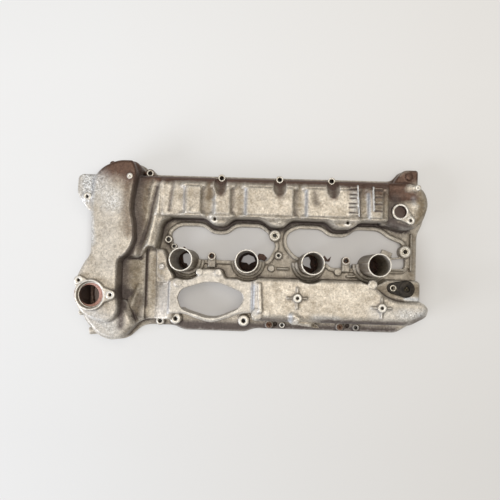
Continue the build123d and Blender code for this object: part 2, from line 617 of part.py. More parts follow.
def camshaft_sensor():
    """The plastic sensor: a flanged head on the shelf, a neck and tip through it, and a round socket."""
    top = SHELF_TOP + SENSOR_PLATE
    head = Pos(SENSOR_X, SENSOR_Y) * Circle(SENSOR_HEAD_R)
    ear = Pos(SENSOR_EAR_X, SENSOR_EAR_Y) * Circle(SENSOR_EAR_R)
    body = extrude(Pos(0, 0, SHELF_TOP) * make_hull(head.edges() + ear.edges()), SENSOR_PLATE)
    body = fillet(body.faces().sort_by(Axis.Z)[-1].edges(), SENSOR_ROUND)
    body += [
        rod(SENSOR_X, SENSOR_Y, SENSOR_CAP_R, top - 1, top + 2 * SENSOR_CAP / 3),
        rod(SENSOR_X, SENSOR_Y, SENSOR_SOCKET_R + SENSOR_SOCKET_WALL, top, top + SENSOR_CAP),
        rod(SENSOR_X, SENSOR_Y, SENSOR_NECK_R, SENSOR_TIP, SHELF_TOP),
    ]
    groove = SHELF_TOP - O_RING_DROP
    inner = SENSOR_BORE_R - 2 * O_RING_R
    return body - [
        ring(SENSOR_X, SENSOR_Y, SENSOR_NECK_R + 1, inner, groove - O_RING_R, groove + O_RING_R),
        rod(SENSOR_X, SENSOR_Y, SENSOR_SOCKET_R, top - 1, top + SENSOR_CAP + 1),
        rod(SENSOR_EAR_X, SENSOR_EAR_Y, SLEEVE_R + SLIP, SHELF_TOP - 1, top + 1),
    ]


def sensor_contacts():
    """The three pins that stand in the sensor's socket."""
    bottom = SHELF_TOP + SENSOR_PLATE - 1
    pins = [bar(SENSOR_X + dx, SENSOR_Y + dy, bottom, *CONTACT_SIZE) for dx, dy in CONTACTS]
    return Compound(children=pins)


def sensor_o_ring():
    """The rubber ring round the sensor's neck."""
    middle = Pos(SENSOR_X, SENSOR_Y, SHELF_TOP - O_RING_DROP)
    return middle * Torus(SENSOR_BORE_R - O_RING_R, O_RING_R - SLIP)


def edge_bolt(x, y):
    """A socket-head bolt in the lower edge."""
    top = EDGE_BOLT_SEAT + EDGE_BOLT_HEAD
    shank = rod(x, y, EDGE_BOLT_SHANK_R, 0, EDGE_BOLT_SEAT)
    bolt = shank + rod(x, y, EDGE_BOLT_HEAD_R, EDGE_BOLT_SEAT, top)
    bolt = chamfer(bolt.edges().filter_by(GeomType.CIRCLE).sort_by(Axis.Z)[-1], EDGE_BOLT_CHAMFER)
    hexagon = Pos(x, y, top - EDGE_BOLT_KEY_DEPTH) * RegularPolygon(EDGE_BOLT_KEY / 2, 6, major_radius=False)
    return bolt - extrude(hexagon, EDGE_BOLT_KEY_DEPTH + 1)


def baffle_plate():
    """The pressed sheet that parts the breather's oil separator from the camshaft."""
    middle_x = (BAFFLE_X[0] + BAFFLE_X[1]) / 2
    middle_y = (BAFFLE_Y[0] + BAFFLE_Y[1]) / 2
    length = BAFFLE_X[1] - BAFFLE_X[0]
    width = BAFFLE_Y[1] - BAFFLE_Y[0]
    outline = Pos(middle_x, middle_y, BAFFLE_Z) * RectangleRounded(length, width, BAFFLE_CORNER)
    sheet = extrude(outline, BAFFLE_THICK)
    beads = [bar(x, middle_y, BAFFLE_Z - BAFFLE_THICK, *BAFFLE_BEAD_SIZE) for x in BAFFLE_BEADS_X]
    holes = [rod(x, y, BAFFLE_SCREW_PILOT_R, BAFFLE_Z - 1, BAFFLE_Z + 3) for x, y in BAFFLE_SCREWS]
    return (sheet + beads) - holes


def baffle_screws():
    """The pan-head screws under the separator's sheet."""
    screws = []
    for x, y in BAFFLE_SCREWS:
        head = rod(x, y, BAFFLE_SCREW_HEAD_R, BAFFLE_Z - BAFFLE_SCREW_HEAD, BAFFLE_Z)
        screws.append(head + rod(x, y, BAFFLE_SCREW_R, BAFFLE_Z - 1, BAFFLE_Z + BAFFLE_SCREW_LENGTH))
    return Compound(children=screws)


def tube_set(names, places, outer, inner, bottom, top):
    """Named tubes of one size at several places."""
    return {name: ring(x, y, outer, inner, bottom, top) for name, (x, y) in zip(names, places)}


def all_parts():
    """Every piece of the cover under its name."""
    sleeve_top = SHELF_TOP + SENSOR_PLATE + SLEEVE_PROUD
    parts = {
        "cover_casting": cover_casting(),
        "perimeter_gasket": perimeter_gasket(),
        "camshaft_sensor": camshaft_sensor(),
        "sensor_contacts": sensor_contacts(),
        "sensor_o_ring": sensor_o_ring(),
        "sensor_sleeve": ring(SENSOR_EAR_X, SENSOR_EAR_Y, SLEEVE_R, BOLT_HOLE_R, SHELF_TOP, sleeve_top),
        "baffle_plate": baffle_plate(),
        "baffle_screws": baffle_screws(),
    }
    for index in range(TOWER_COUNT):
        parts[f"tower_seal_{index + 1}"] = tower_seal(index)
    for name, (x, y) in zip(("left", "right"), EDGE_BOLT_PLACES):
        parts[f"edge_bolt_{name}"] = edge_bolt(x, y)
    inserts = ("insert_left", "insert_right")
    sleeves = ("spacer_sleeve_middle", "spacer_sleeve_right")
    dowels = ("dowel_lower", "dowel_upper")
    parts |= tube_set(inserts, TABS, INSERT_R - SLIP, INSERT_BORE_R, INSERT_TOP - INSERT_LENGTH, INSERT_TOP)
    parts |= tube_set(sleeves, SLEEVE_PLACES, SLEEVE_R - SLIP, BOLT_HOLE_R, 0, SLEEVE_TOP)
    parts |= tube_set(dowels, DOWEL_PLACES, SLEEVE_R - SLIP, BOLT_HOLE_R, 0, DOWEL_HEIGHT)
    return parts


if __name__ == "__main__":
    os.makedirs("parts", exist_ok=True)
    for name, shape in all_parts().items():
        export_step(shape, f"parts/{name}.step")
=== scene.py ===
"""Looks of a used V8 cylinder-head cover, built on the frame of its CAD model.

Sizes in this file are millimetres in the cover's own frame: X along the coil towers, Y across the
head and Z up from the sealing face. One function turns them into Blender's metres.
"""

import logging
import math
from dataclasses import dataclass
from enum import Enum

import bmesh
import bpy
import numpy as np
from mathutils import Euler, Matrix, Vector


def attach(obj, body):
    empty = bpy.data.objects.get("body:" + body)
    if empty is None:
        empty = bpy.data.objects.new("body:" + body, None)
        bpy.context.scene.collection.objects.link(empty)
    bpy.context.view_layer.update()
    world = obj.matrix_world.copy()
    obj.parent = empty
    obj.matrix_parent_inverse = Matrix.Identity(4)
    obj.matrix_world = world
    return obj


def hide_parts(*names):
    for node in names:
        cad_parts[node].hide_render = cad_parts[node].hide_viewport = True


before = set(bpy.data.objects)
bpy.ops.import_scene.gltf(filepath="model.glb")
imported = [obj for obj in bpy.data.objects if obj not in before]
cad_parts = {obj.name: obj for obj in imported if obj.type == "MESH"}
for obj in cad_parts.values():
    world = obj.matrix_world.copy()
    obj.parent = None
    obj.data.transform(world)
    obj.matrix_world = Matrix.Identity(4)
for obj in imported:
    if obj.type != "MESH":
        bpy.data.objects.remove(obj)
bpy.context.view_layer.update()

MM = 0.001
LOG = logging.getLogger("valve_cover")

Point = tuple[float, float]
Place = tuple[float, float, float]


# ---------------------------------------------------------------- small helpers


def metres(*values: float) -> Vector:
    """Turns millimetres into a vector in metres."""
    return Vector(values) * MM


def per_metre(size_mm: float) -> float:
    """The texture scale of a pattern whose features are so many millimetres across."""
    return 1 / (size_mm * MM)


def linear(code: str) -> tuple[float, float, float, float]:
    """Turns an sRGB hex colour into linear light.

    Args:
        code: Six hex digits.

    Returns:
        Red, green, blue and an alpha of one.
    """
    channels = []
    for start in (0, 2, 4):
        value = int(code[start:start + 2], 16) / 255
        channels.append(value / 12.92 if value <= 0.04045 else ((value + 0.055) / 1.055) ** 2.4)
    return (*channels, 1.0)


def add_node(tree: bpy.types.NodeTree, kind: str, inputs: dict | None = None,
             **settings: object) -> bpy.types.Node:
    """Adds a node with its settings, constants and links.

    Args:
        tree: The node tree that gets the node.
        kind: The node's type name.
        inputs: For each input's name or number, a constant or the socket that feeds it.
        **settings: The node's own properties.

    Returns:
        The new node.
    """
    node = tree.nodes.new(kind)
    for name, value in settings.items():
        setattr(node, name, value)
    for name, value in (inputs or {}).items():
        if isinstance(value, bpy.types.NodeSocket):
            tree.links.new(value, node.inputs[name])
        else:
            node.inputs[name].default_value = value
    return node


def new_material(name: str) -> tuple[bpy.types.Material, bpy.types.NodeTree, bpy.types.NodeSocket]:
    """Makes an empty material.

    Args:
        name: The finish's name.

    Returns:
        The material, its node tree, and the Object coordinates in metres.
    """
    material = bpy.data.materials.new(name)
    material.use_nodes = True
    tree = material.node_tree
    tree.nodes.clear()
    place = add_node(tree, "ShaderNodeTexCoord").outputs["Object"]
    return material, tree, place


def finish_material(tree: bpy.types.NodeTree, inputs: dict) -> None:
    """Ends a material with its one shader.

    Args:
        tree: The material's node tree.
        inputs: The shader's inputs, as add_node takes them.
    """
    shader = add_node(tree, "ShaderNodeBsdfPrincipled", inputs)
    add_node(tree, "ShaderNodeOutputMaterial", {"Surface": shader.outputs[0]})


def object_from(mesh: bpy.types.Mesh, name: str) -> bpy.types.Object:
    """Puts a mesh in the scene as an object at the origin.

    Args:
        mesh: The mesh.
        name: The object's name.

    Returns:
        The object.
    """
    piece = bpy.data.objects.new(name, mesh)
    bpy.context.scene.collection.objects.link(piece)
    return piece


def baked(piece: bpy.types.Object) -> bpy.types.Object:
    """Applies an object's modifiers to its mesh.

    Args:
        piece: The object with live modifiers.

    Returns:
        The same object with a plain mesh and no modifiers.
    """
    bpy.context.view_layer.update()
    graph = bpy.context.evaluated_depsgraph_get()
    shaped = piece.evaluated_get(graph)
    mesh = bpy.data.meshes.new_from_object(shaped, preserve_all_data_layers=True, depsgraph=graph)
    old = piece.data
    piece.modifiers.clear()
    piece.data = mesh
    bpy.data.meshes.remove(old)
    return piece


def merged_copy(node: str, name: str) -> bpy.types.Object:
    """Copies a CAD node's triangles into a new closed mesh.

    Args:
        node: The CAD node.
        name: The new object's name.

    Returns:
        The new object, with its doubles merged.
    """
    copy = bmesh.new()
    copy.from_mesh(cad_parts[node].data)
    bmesh.ops.remove_doubles(copy, verts=copy.verts, dist=0.002 * MM)
    mesh = bpy.data.meshes.new(name)
    copy.to_mesh(mesh)
    copy.free()
    mesh.materials.clear()
    for layer in list(mesh.color_attributes):
        mesh.color_attributes.remove(layer)
    return object_from(mesh, name)


def settle(piece: bpy.types.Object, slot: str, *nodes: str) -> None:
    """Lets a finished piece stand for its CAD nodes.

    Args:
        piece: The finished object.
        slot: Not used.
        *nodes: The CAD nodes that it replaces.
    """
    if nodes:
        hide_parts(*nodes)
    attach(piece, "root")
    LOG.info("%s: %d faces", piece.name, len(piece.data.polygons))


# ---------------------------------------------------------------- finishes


@dataclass(frozen=True)
class CastAluminium:
    """Die-cast aluminium-silicon alloy, blasted once and then cooked in oil for years.

    It gives the eye a pale, sparkling skin that is brown where oil has baked on, black in the corners,
    white and pitted where it has corroded, and bright where hands and tools have rubbed it. Painted shade
    darkens walls that face away from the light, and painted highlights brighten faces turned to it.
    """

    name: str = "DieCastAluminiumOilStained"
    # Cloudy oxide in patches, runs of oil, bright and dull spots, and the blasted skin's grain. The real
    # grain is 0.3 mm, and it is drawn coarser so that it shows.
    cloud_mm: float = 25.0
    runs_mm: float = 8.0
    spots_mm: float = 4.0
    grain_mm: float = 2.5
    bump_mm: float = 0.35
    bare: str = "EBE3D6"
    dull: str = "ADA394"
    varnish: str = "7F7058"
    russet: str = "644B3E"
    # Grime, and painted shade where the strokes darken walls and ledges that the light misses
    grime_and_painted_shade: str = "574C47"
    chalk: str = "EDEEEE"
    pitted: str = "A5A3A0"
    # Painted highlight: the bluish-white light on faces turned to the window lamp
    painted_highlight: str = "C3C7CD"
    worn: str = "F4F0E6"

    def layer(self, tree: bpy.types.NodeTree, below: bpy.types.NodeSocket, above: bpy.types.NodeSocket | str,
              amount: bpy.types.NodeSocket) -> bpy.types.NodeSocket:
        """Lays one colour over another.

        Args:
            tree: The material's node tree.
            below: The colour so far.
            above: The colour laid over it, as a socket or a hex code.
            amount: How much of it shows.

        Returns:
            The new colour.
        """
        over = linear(above) if isinstance(above, str) else above
        return add_node(tree, "ShaderNodeMix", {0: amount, 6: below, 7: over}, data_type="RGBA").outputs[2]

    def broken(self, tree: bpy.types.NodeTree, stain: str, noise: bpy.types.NodeSocket,
               spread: float) -> bpy.types.NodeSocket:
        """Breaks up a painted stain with noise.

        Args:
            tree: The material's node tree.
            stain: The attribute that holds the stain.
            noise: A noise value about 0.5.
            spread: How strongly the noise adds to and takes from the stain.

        Returns:
            The broken stain, from zero to one.
        """
        drawn = add_node(tree, "ShaderNodeAttribute", attribute_name=stain)
        swing = add_node(tree, "ShaderNodeMath", {
            0: noise, 1: spread, 2: 1 - spread / 2}, operation="MULTIPLY_ADD")
        return add_node(tree, "ShaderNodeMath", {
            0: drawn.outputs["Fac"], 1: swing.outputs[0]}, operation="MULTIPLY", use_clamp=True).outputs[0]

    def make(self) -> bpy.types.Material:
        """Builds the material: bare metal, brown oil film, grime in the corners, painted shade, painted
        highlights and rubbed edges.

        Returns:
            The material.
        """
        material, tree, place = new_material(self.name)
        cloud = add_node(tree, "ShaderNodeTexNoise", {
            "Vector": place, "Scale": per_metre(self.cloud_mm), "Detail": 5.0,
            "Roughness": 0.6}).outputs["Fac"]
        grain = add_node(tree, "ShaderNodeTexNoise", {
            "Vector": place, "Scale": per_metre(self.grain_mm), "Detail": 3.0,
            "Roughness": 0.75}).outputs["Fac"]
        runs = add_node(tree, "ShaderNodeTexNoise", {
            "Vector": place, "Scale": per_metre(self.runs_mm), "Detail": 6.0, "Roughness": 0.65,
            "Distortion": 0.6}).outputs["Fac"]
        patches = add_node(tree, "ShaderNodeMath", {
            0: add_node(tree, "ShaderNodeMath", {0: cloud, 1: runs}, operation="ADD").outputs[0],
            1: grain}, operation="ADD").outputs[0]
        skin = add_node(tree, "ShaderNodeMapRange", {
            "Value": patches, "From Min": 1.22, "From Max": 1.78, "To Max": 1.0}).outputs["Result"]
        metal = add_node(tree, "ShaderNodeMix", {
            0: skin, 6: linear(self.bare), 7: linear(self.dull)}, data_type="RGBA").outputs[2]
        oily = self.broken(tree, "oil", runs, 1.4)
        brown = self.broken(tree, "russet", runs, 0.8)
        # Grime and painted shade, broken up by the grain
        grime_and_shade_amount = self.broken(tree, "grime_and_painted_shade", grain, 0.9)
        speck = add_node(tree, "ShaderNodeMapRange", {
            "Value": grain, "From Min": 0.42, "From Max": 0.58}).outputs["Result"]
        flaky = add_node(tree, "ShaderNodeMix", {
            0: speck, 6: linear(self.pitted), 7: linear(self.chalk)}, data_type="RGBA").outputs[2]
        colour = self.layer(tree, metal, self.varnish, oily)
        colour = self.layer(tree, colour, self.russet, brown)
        colour = self.layer(tree, colour, flaky, self.broken(tree, "chalk", runs, 0.8))
        colour = self.layer(tree, colour, self.grime_and_painted_shade, grime_and_shade_amount)
        # Painted highlights, then rubbed edges
        for name in ("painted_highlight", "worn"):
            colour = self.layer(tree, colour, getattr(self, name), add_node(
                tree, "ShaderNodeAttribute", attribute_name=name).outputs["Fac"])
        # Bright and dull spots side by side give the blasted skin its sparkle
        spots = add_node(tree, "ShaderNodeTexNoise", {
            "Vector": place, "Scale": per_metre(self.spots_mm), "Detail": 4.0,
            "Roughness": 0.8}).outputs["Fac"]
        sparkle = add_node(tree, "ShaderNodeMapRange", {
            "Value": spots, "From Min": 0.34, "From Max": 0.66, "To Min": 0.62, "To Max": 1.24})
        mottled = add_node(tree, "ShaderNodeMix", {
            0: 1.0, 6: colour, 7: sparkle.outputs["Result"]}, data_type="RGBA", blend_type="MULTIPLY")
        covered = add_node(tree, "ShaderNodeMath", {0: oily, 1: grime_and_shade_amount}, operation="MAXIMUM")
        rough = add_node(tree, "ShaderNodeMapRange", {
            "Value": covered.outputs[0], "To Min": 0.42, "To Max": 0.55})
        shine = add_node(tree, "ShaderNodeMapRange", {
            "Value": covered.outputs[0], "To Min": 0.5, "To Max": 0.15})
        height = add_node(tree, "ShaderNodeMath", {0: grain, 1: runs}, operation="ADD")
        bump = add_node(tree, "ShaderNodeBump", {
            "Height": height.outputs[0], "Strength": 0.5, "Distance": self.bump_mm * MM})
        finish_material(tree, {
            "Base Color": mottled.outputs[2], "Metallic": shine.outputs["Result"],
            "Roughness": rough.outputs["Result"], "Normal": bump.outputs[0]})
        return material


@dataclass(frozen=True)
class MilledAluminium:
    """Aluminium faced on a mill: a bright, even face with the cutter's fine lines and a few stains."""

    name: str = "MilledAluminiumFace"
    bright: str = "DEDAD2"
    stained: str = "B3A892"
    # Cutter lines 1.8 mm apart, drawn coarser than the real 0.2 mm feed so that they show, and stains of
    # about 3 mm
    line_scale: float = 170.0
    stain_scale: float = 300.0

    def make(self) -> bpy.types.Material:
        """Builds the material.

        Returns:
            The material.
        """
        material, tree, place = new_material(self.name)
        marks = add_node(tree, "ShaderNodeTexWave", {
            "Vector": place, "Scale": self.line_scale, "Distortion": 1.5, "Detail": 2.0})
        spots = add_node(tree, "ShaderNodeTexNoise", {
            "Vector": place, "Scale": self.stain_scale, "Detail": 4.0, "Roughness": 0.6})
        amount = add_node(tree, "ShaderNodeMapRange", {
            "Value": spots.outputs["Fac"], "From Min": 0.5, "From Max": 0.72})
        colour = add_node(tree, "ShaderNodeMix", {
            0: amount.outputs["Result"], 6: linear(self.bright), 7: linear(self.stained)},
            data_type="RGBA")
        bump = add_node(tree, "ShaderNodeBump", {
            "Height": marks.outputs["Fac"], "Strength": 0.15, "Distance": 0.05 * MM})
        rough = add_node(tree, "ShaderNodeMapRange", {
            "Value": spots.outputs["Fac"], "To Min": 0.3, "To Max": 0.5})
        finish_material(tree, {
            "Base Color": colour.outputs[2], "Metallic": 0.45, "Roughness": rough.outputs["Result"],
            "Normal": bump.outputs[0]})
        return material


@dataclass(frozen=True)
class Rubber:
    """Moulded acrylic rubber: nearly black and satin, with a dusty film and fine cracks as it perishes."""

    name: str
    base: str
    dust: str
    roughness: float
    crack_mm: float

    def make(self) -> bpy.types.Material:
        """Builds the material.

        Returns:
            The material.
        """
        material, tree, place = new_material(self.name)
        scale = per_metre(self.crack_mm)
        film = add_node(tree, "ShaderNodeTexNoise", {
            "Vector": place, "Scale": scale / 3, "Detail": 5.0, "Roughness": 0.62})
        cracks = add_node(tree, "ShaderNodeTexVoronoi", {
            "Vector": place, "Scale": scale}, feature="DISTANCE_TO_EDGE")
        amount = add_node(tree, "ShaderNodeMapRange", {
            "Value": film.outputs["Fac"], "From Min": 0.42, "From Max": 0.72, "To Max": 0.8})
        colour = add_node(tree, "ShaderNodeMix", {
            0: amount.outputs["Result"], 6: linear(self.base), 7: linear(self.dust)}, data_type="RGBA")
        groove = add_node(tree, "ShaderNodeMapRange", {
            "Value": cracks.outputs["Distance"], "From Max": 0.08})
        bump = add_node(tree, "ShaderNodeBump", {
            "Height": groove.outputs["Result"], "Strength": 0.3, "Distance": 0.2 * MM})
        finish_material(tree, {
            "Base Color": colour.outputs[2], "Roughness": self.roughness, "Specular IOR Level": 0.4,
            "Normal": bump.outputs[0]})
        return material


@dataclass(frozen=True)
class GlassFilledPlastic:
    """Moulded black nylon with glass fibre: a dull, fine-grained skin, greyed by heat and road dust."""

    name: str = "GlassFilledNylonBlack"
    base: str = "221D18"
    dusty: str = "4C443A"
    # Mould grain of 1.1 mm, drawn coarser than the real 0.1 mm so that it shows, and dust in 6 mm patches
    grain_scale: float = 900.0
    dust_mm: float = 6.25

    def make(self) -> bpy.types.Material:
        """Builds the material.

        Returns:
            The material.
        """
        material, tree, place = new_material(self.name)
        fibre = add_node(tree, "ShaderNodeTexNoise", {
            "Vector": place, "Scale": self.grain_scale, "Detail": 2.0, "Roughness": 0.6})
        film = add_node(tree, "ShaderNodeTexNoise", {
            "Vector": place, "Scale": per_metre(self.dust_mm), "Detail": 5.0, "Roughness": 0.6})
        amount = add_node(tree, "ShaderNodeMapRange", {
            "Value": film.outputs["Fac"], "From Min": 0.4, "From Max": 0.75, "To Max": 0.85})
        colour = add_node(tree, "ShaderNodeMix", {
            0: amount.outputs["Result"], 6: linear(self.base), 7: linear(self.dusty)}, data_type="RGBA")
        bump = add_node(tree, "ShaderNodeBump", {
            "Height": fibre.outputs["Fac"], "Strength": 0.25, "Distance": 0.1 * MM})
        finish_material(tree, {
            "Base Color": colour.outputs[2], "Roughness": 0.62, "Specular IOR Level": 0.3,
            "Normal": bump.outputs[0]})
        return material


@dataclass(frozen=True)
class TarnishedMetal:
    """Turned or pressed steel, brass and baked lacquer: a half-bright face with dull blotches of tarnish."""

    name: str
    metal: str
    tarnish: str
    amount: float
    roughness: float
    metallic: float
    # Blotches of 2.1 mm, as rust and oil dry on small parts
    blotch_scale: float = 480.0
    clean_edge: float = 0.62
    full_edge: float = 0.78
    spread: float = 0.35
    dull: float = 0.85

    def make(self) -> bpy.types.Material:
        """Builds the material: plain metal with tarnish in blotches.

        Returns:
            The material.
        """
        material, tree, place = new_material(self.name)
        blotch = add_node(tree, "ShaderNodeTexNoise", {
            "Vector": place, "Scale": self.blotch_scale, "Detail": 6.0, "Roughness": 0.68})
        cover = add_node(tree, "ShaderNodeMapRange", {
            "Value": blotch.outputs["Fac"], "From Min": self.clean_edge - self.spread * self.amount,
            "From Max": self.full_edge - self.spread * self.amount})
        colour = add_node(tree, "ShaderNodeMix", {
            0: cover.outputs["Result"], 6: linear(self.metal), 7: linear(self.tarnish)},
            data_type="RGBA")
        rough = add_node(tree, "ShaderNodeMapRange", {
            "Value": cover.outputs["Result"], "To Min": self.roughness, "To Max": self.dull})
        bump = add_node(tree, "ShaderNodeBump", {
            "Height": blotch.outputs["Fac"], "Strength": 0.3, "Distance": 0.12 * MM})
        finish_material(tree, {
            "Base Color": colour.outputs[2], "Metallic": self.metallic, "Roughness": rough.outputs["Result"],
            "Normal": bump.outputs[0]})
        return material


class Finish(Enum):
    """The cover's finishes, each with its maker."""

    CAST = CastAluminium()
    MILLED = MilledAluminium()
    SEAL = Rubber("PerishedSealRubber", "40302A", "765343", 0.6, 1.6)
    GASKET = Rubber("GasketRubberSatin", "202020", "3A3835", 0.5, 3.0)
    PLASTIC = GlassFilledPlastic()
    RUST = TarnishedMetal("RustedSteel", "8A7562", "5C3C2C", 0.7, 0.5, 0.3)
    ZINC = TarnishedMetal("ZincPlatedSteelStained", "C9C4B8", "8C7C62", 0.35, 0.35, 0.7)
    SHEET = TarnishedMetal("PressedSheetSteelOiled", "8F897C", "5E5240", 0.4, 0.4, 0.6)
    CONTACT = TarnishedMetal("TinnedBrassContact", "9C8D68", "5E5136", 0.5, 0.45, 0.6)
    LACQUER = TarnishedMetal("BakedOilLacquer", "B58A7C", "8A6458", 0.35, 0.5, 0.15)


class Finishes:
    """Makes each finish once and hands it out."""

    def __init__(self) -> None:
        """Starts with no material made."""
        self.made: dict[Finish, bpy.types.Material] = {}

    def __getitem__(self, finish: Finish) -> bpy.types.Material:
        """Makes a finish's material the first time it is asked for.

        Args:
            finish: The finish.

        Returns:
            Its material.
        """
        if finish not in self.made:
            self.made[finish] = finish.value.make()
        return self.made[finish]


# ---------------------------------------------------------------- geometry node trees


class ShapeTree:
    """A geometry node tree whose named sizes are inputs."""

    def __init__(self, name: str, sizes: tuple[str, ...]) -> None:
        """Makes the tree with its inputs and its output, and no nodes.

        Args:
            name: The tree's name.
            sizes: The names of its sizes.
        """
        self.tree = bpy.data.node_groups.new(name, "GeometryNodeTree")
        face = self.tree.interface
        face.new_socket("Geometry", in_out="INPUT", socket_type="NodeSocketGeometry")
        self.sockets = [
            face.new_socket(size, in_out="INPUT", socket_type="NodeSocketFloat").identifier
            for size in sizes
        ]
        face.new_socket("Geometry", in_out="OUTPUT", socket_type="NodeSocketGeometry")

    def modify(self, piece: bpy.types.Object, sizes: tuple[float, ...]) -> None:
        """Puts the tree on a piece as a live modifier.

        Args:
            piece: The piece.
            sizes: The tree's sizes in millimetres.
        """
        modifier = piece.modifiers.new(self.tree.name, "NODES")
        modifier.node_group = self.tree
        for socket, value in zip(self.sockets, sizes):
            modifier[socket] = value * MM


class RingTree(ShapeTree):
    """Sets one turned ring at every point of a mesh."""

    def __init__(self, side: bpy.types.Material, top: bpy.types.Material) -> None:
        """Builds the tree.

        Args:
            side: The material of the rings' walls.
            top: The material of the rings' tops.
        """
        super().__init__("TurnedRings", ("Outer Radius", "Hole Radius", "Depth", "Edge Break"))
        self.wire(side, top)

    def wire(self, side: bpy.types.Material, top: bpy.types.Material) -> None:
        """Adds and links the tree's nodes.

        Args:
            side: The material of the rings' walls.
            top: The material of the rings' tops.
        """
        tree = self.tree
        given = add_node(tree, "NodeGroupInput").outputs
        width = add_node(tree, "ShaderNodeMath", {
            0: given["Outer Radius"], 1: given["Hole Radius"]}, operation="SUBTRACT")
        half = add_node(tree, "ShaderNodeMath", {0: width.outputs[0], 1: 0.5}, operation="MULTIPLY")
        middle = add_node(tree, "ShaderNodeMath", {
            0: given["Hole Radius"], 1: half.outputs[0]}, operation="ADD")
        path = add_node(tree, "GeometryNodeCurvePrimitiveCircle", {
            "Resolution": 64, "Radius": middle.outputs[0]})
        section = add_node(tree, "GeometryNodeCurvePrimitiveQuadrilateral", {
            "Width": width.outputs[0], "Height": given["Depth"]})
        eased = add_node(tree, "GeometryNodeFilletCurve", {
            "Curve": section.outputs[0], "Radius": given["Edge Break"]})
        swept = add_node(tree, "GeometryNodeCurveToMesh", {
            "Curve": path.outputs[0], "Profile Curve": eased.outputs[0]})
        drop = add_node(tree, "ShaderNodeMath", {0: given["Depth"], 1: -0.5}, operation="MULTIPLY")
        offset = add_node(tree, "ShaderNodeCombineXYZ", {"Z": drop.outputs[0]})
        ring = add_node(tree, "GeometryNodeTransform", {
            "Geometry": swept.outputs[0], "Translation": offset.outputs[0]})
        placed = add_node(tree, "GeometryNodeInstanceOnPoints", {
            "Points": given["Geometry"], "Instance": ring.outputs[0]})
        real = add_node(tree, "GeometryNodeRealizeInstances", {"Geometry": placed.outputs[0]})
        walls = add_node(tree, "GeometryNodeSetMaterial", {
            "Geometry": real.outputs[0], "Material": side})
        normal = add_node(tree, "ShaderNodeSeparateXYZ", {
            0: add_node(tree, "GeometryNodeInputNormal").outputs[0]})
        upward = add_node(tree, "FunctionNodeCompare", {
            "A": normal.outputs["Z"], "B": 0.5}, data_type="FLOAT", operation="GREATER_THAN")
        faced = add_node(tree, "GeometryNodeSetMaterial", {
            "Geometry": walls.outputs[0], "Selection": upward.outputs[0], "Material": top})
        add_node(tree, "NodeGroupOutput", {"Geometry": faced.outputs[0]})

    def rings(self, name: str, places: tuple[Place, ...], sizes: tuple[float, ...]) -> bpy.types.Object:
        """Makes one size of ring at several places.

        Args:
            name: The object's name.
            places: The middle of each ring's top.
            sizes: Outer radius, hole radius, depth and edge break.

        Returns:
            The rings as one plain mesh.
        """
        mesh = bpy.data.meshes.new(name)
        mesh.from_pydata([metres(*place) for place in places], [], [])
        piece = object_from(mesh, name)
        self.modify(piece, sizes)
        return baked(piece)


class RoughSkin(ShapeTree):
    """Roughens a mesh along its normals where its "rough" attribute says so."""

    def __init__(self, skin: bpy.types.Material) -> None:
        """Builds the tree.

        Args:
            skin: The material of the roughened mesh.
        """
        super().__init__("RoughSkin", ("Grain Size", "Height"))
        self.wire(skin)

    def wire(self, skin: bpy.types.Material) -> None:
        """Adds and links the tree's nodes.

        Args:
            skin: The material of the roughened mesh.
        """
        tree = self.tree
        given = add_node(tree, "NodeGroupInput").outputs
        scale = add_node(tree, "ShaderNodeMath", {0: 1.0, 1: given["Grain Size"]}, operation="DIVIDE")
        grain = add_node(tree, "ShaderNodeTexNoise", {
            "Scale": scale.outputs[0], "Detail": 2.0, "Roughness": 0.6})
        signed = add_node(tree, "ShaderNodeMath", {0: grain.outputs[0], 1: 0.5}, operation="SUBTRACT")
        amount = add_node(tree, "GeometryNodeInputNamedAttribute", {"Name": "rough"}, data_type="FLOAT")
        height = add_node(tree, "ShaderNodeMath", {
            0: amount.outputs[0], 1: given["Height"]}, operation="MULTIPLY")
        step = add_node(tree, "ShaderNodeMath", {
            0: signed.outputs[0], 1: height.outputs[0]}, operation="MULTIPLY")
        normal = add_node(tree, "GeometryNodeInputNormal").outputs[0]
        offset = add_node(tree, "ShaderNodeVectorMath", {
            0: normal, "Scale": step.outputs[0]}, operation="SCALE")
        moved = add_node(tree, "GeometryNodeSetPosition", {
            "Geometry": given["Geometry"], "Offset": offset.outputs[0]})
        real = add_node(tree, "GeometryNodeRealizeInstances", {"Geometry": moved.outputs[0]})
        dressed = add_node(tree, "GeometryNodeSetMaterial", {
            "Geometry": real.outputs[0], "Material": skin})
        add_node(tree, "NodeGroupOutput", {"Geometry": dressed.outputs[0]})


# ---------------------------------------------------------------- the casting


@dataclass(frozen=True)
class Touch:
    """A soft-sided stroke along the casting: how far it lifts the metal, what has settled there, and the
    shade and highlights painted on it.
    """

    path: tuple[Point, ...]
    reach: float
    lift: float = 0.0
    oil: float = 0.0
    russet: float = 0.0
    # Grime, and painted shade where the stroke stands for a shadow
    grime_and_painted_shade: float = 0.0
    chalk: float = 0.0
    # Painted highlight
    painted_highlight: float = 0.0
    low: float = 20.0
    high: float = 106.0

    def weight(self, points: np.ndarray) -> np.ndarray:
        """How strongly the stroke acts at each point.

        Args:
            points: Places in millimetres.

        Returns:
            One on the stroke's path, falling to zero at its reach and outside its heights.
        """
        nearest = np.full(len(points), self.reach)
        for begin, end in zip(self.path, self.path[1:] or self.path):
            offset = points[:, :2] - np.array(begin)
            along = np.subtract(end, begin)
            share = np.clip(offset @ along / max(along @ along, 1.0), 0, 1)
            nearest = np.minimum(nearest, np.hypot(*(offset - share[:, None] * along).T))
        inside = (points[:, 2] >= self.low) & (points[:, 2] <= self.high)
        return inside * (0.5 + 0.5 * np.cos(np.pi * nearest / self.reach))


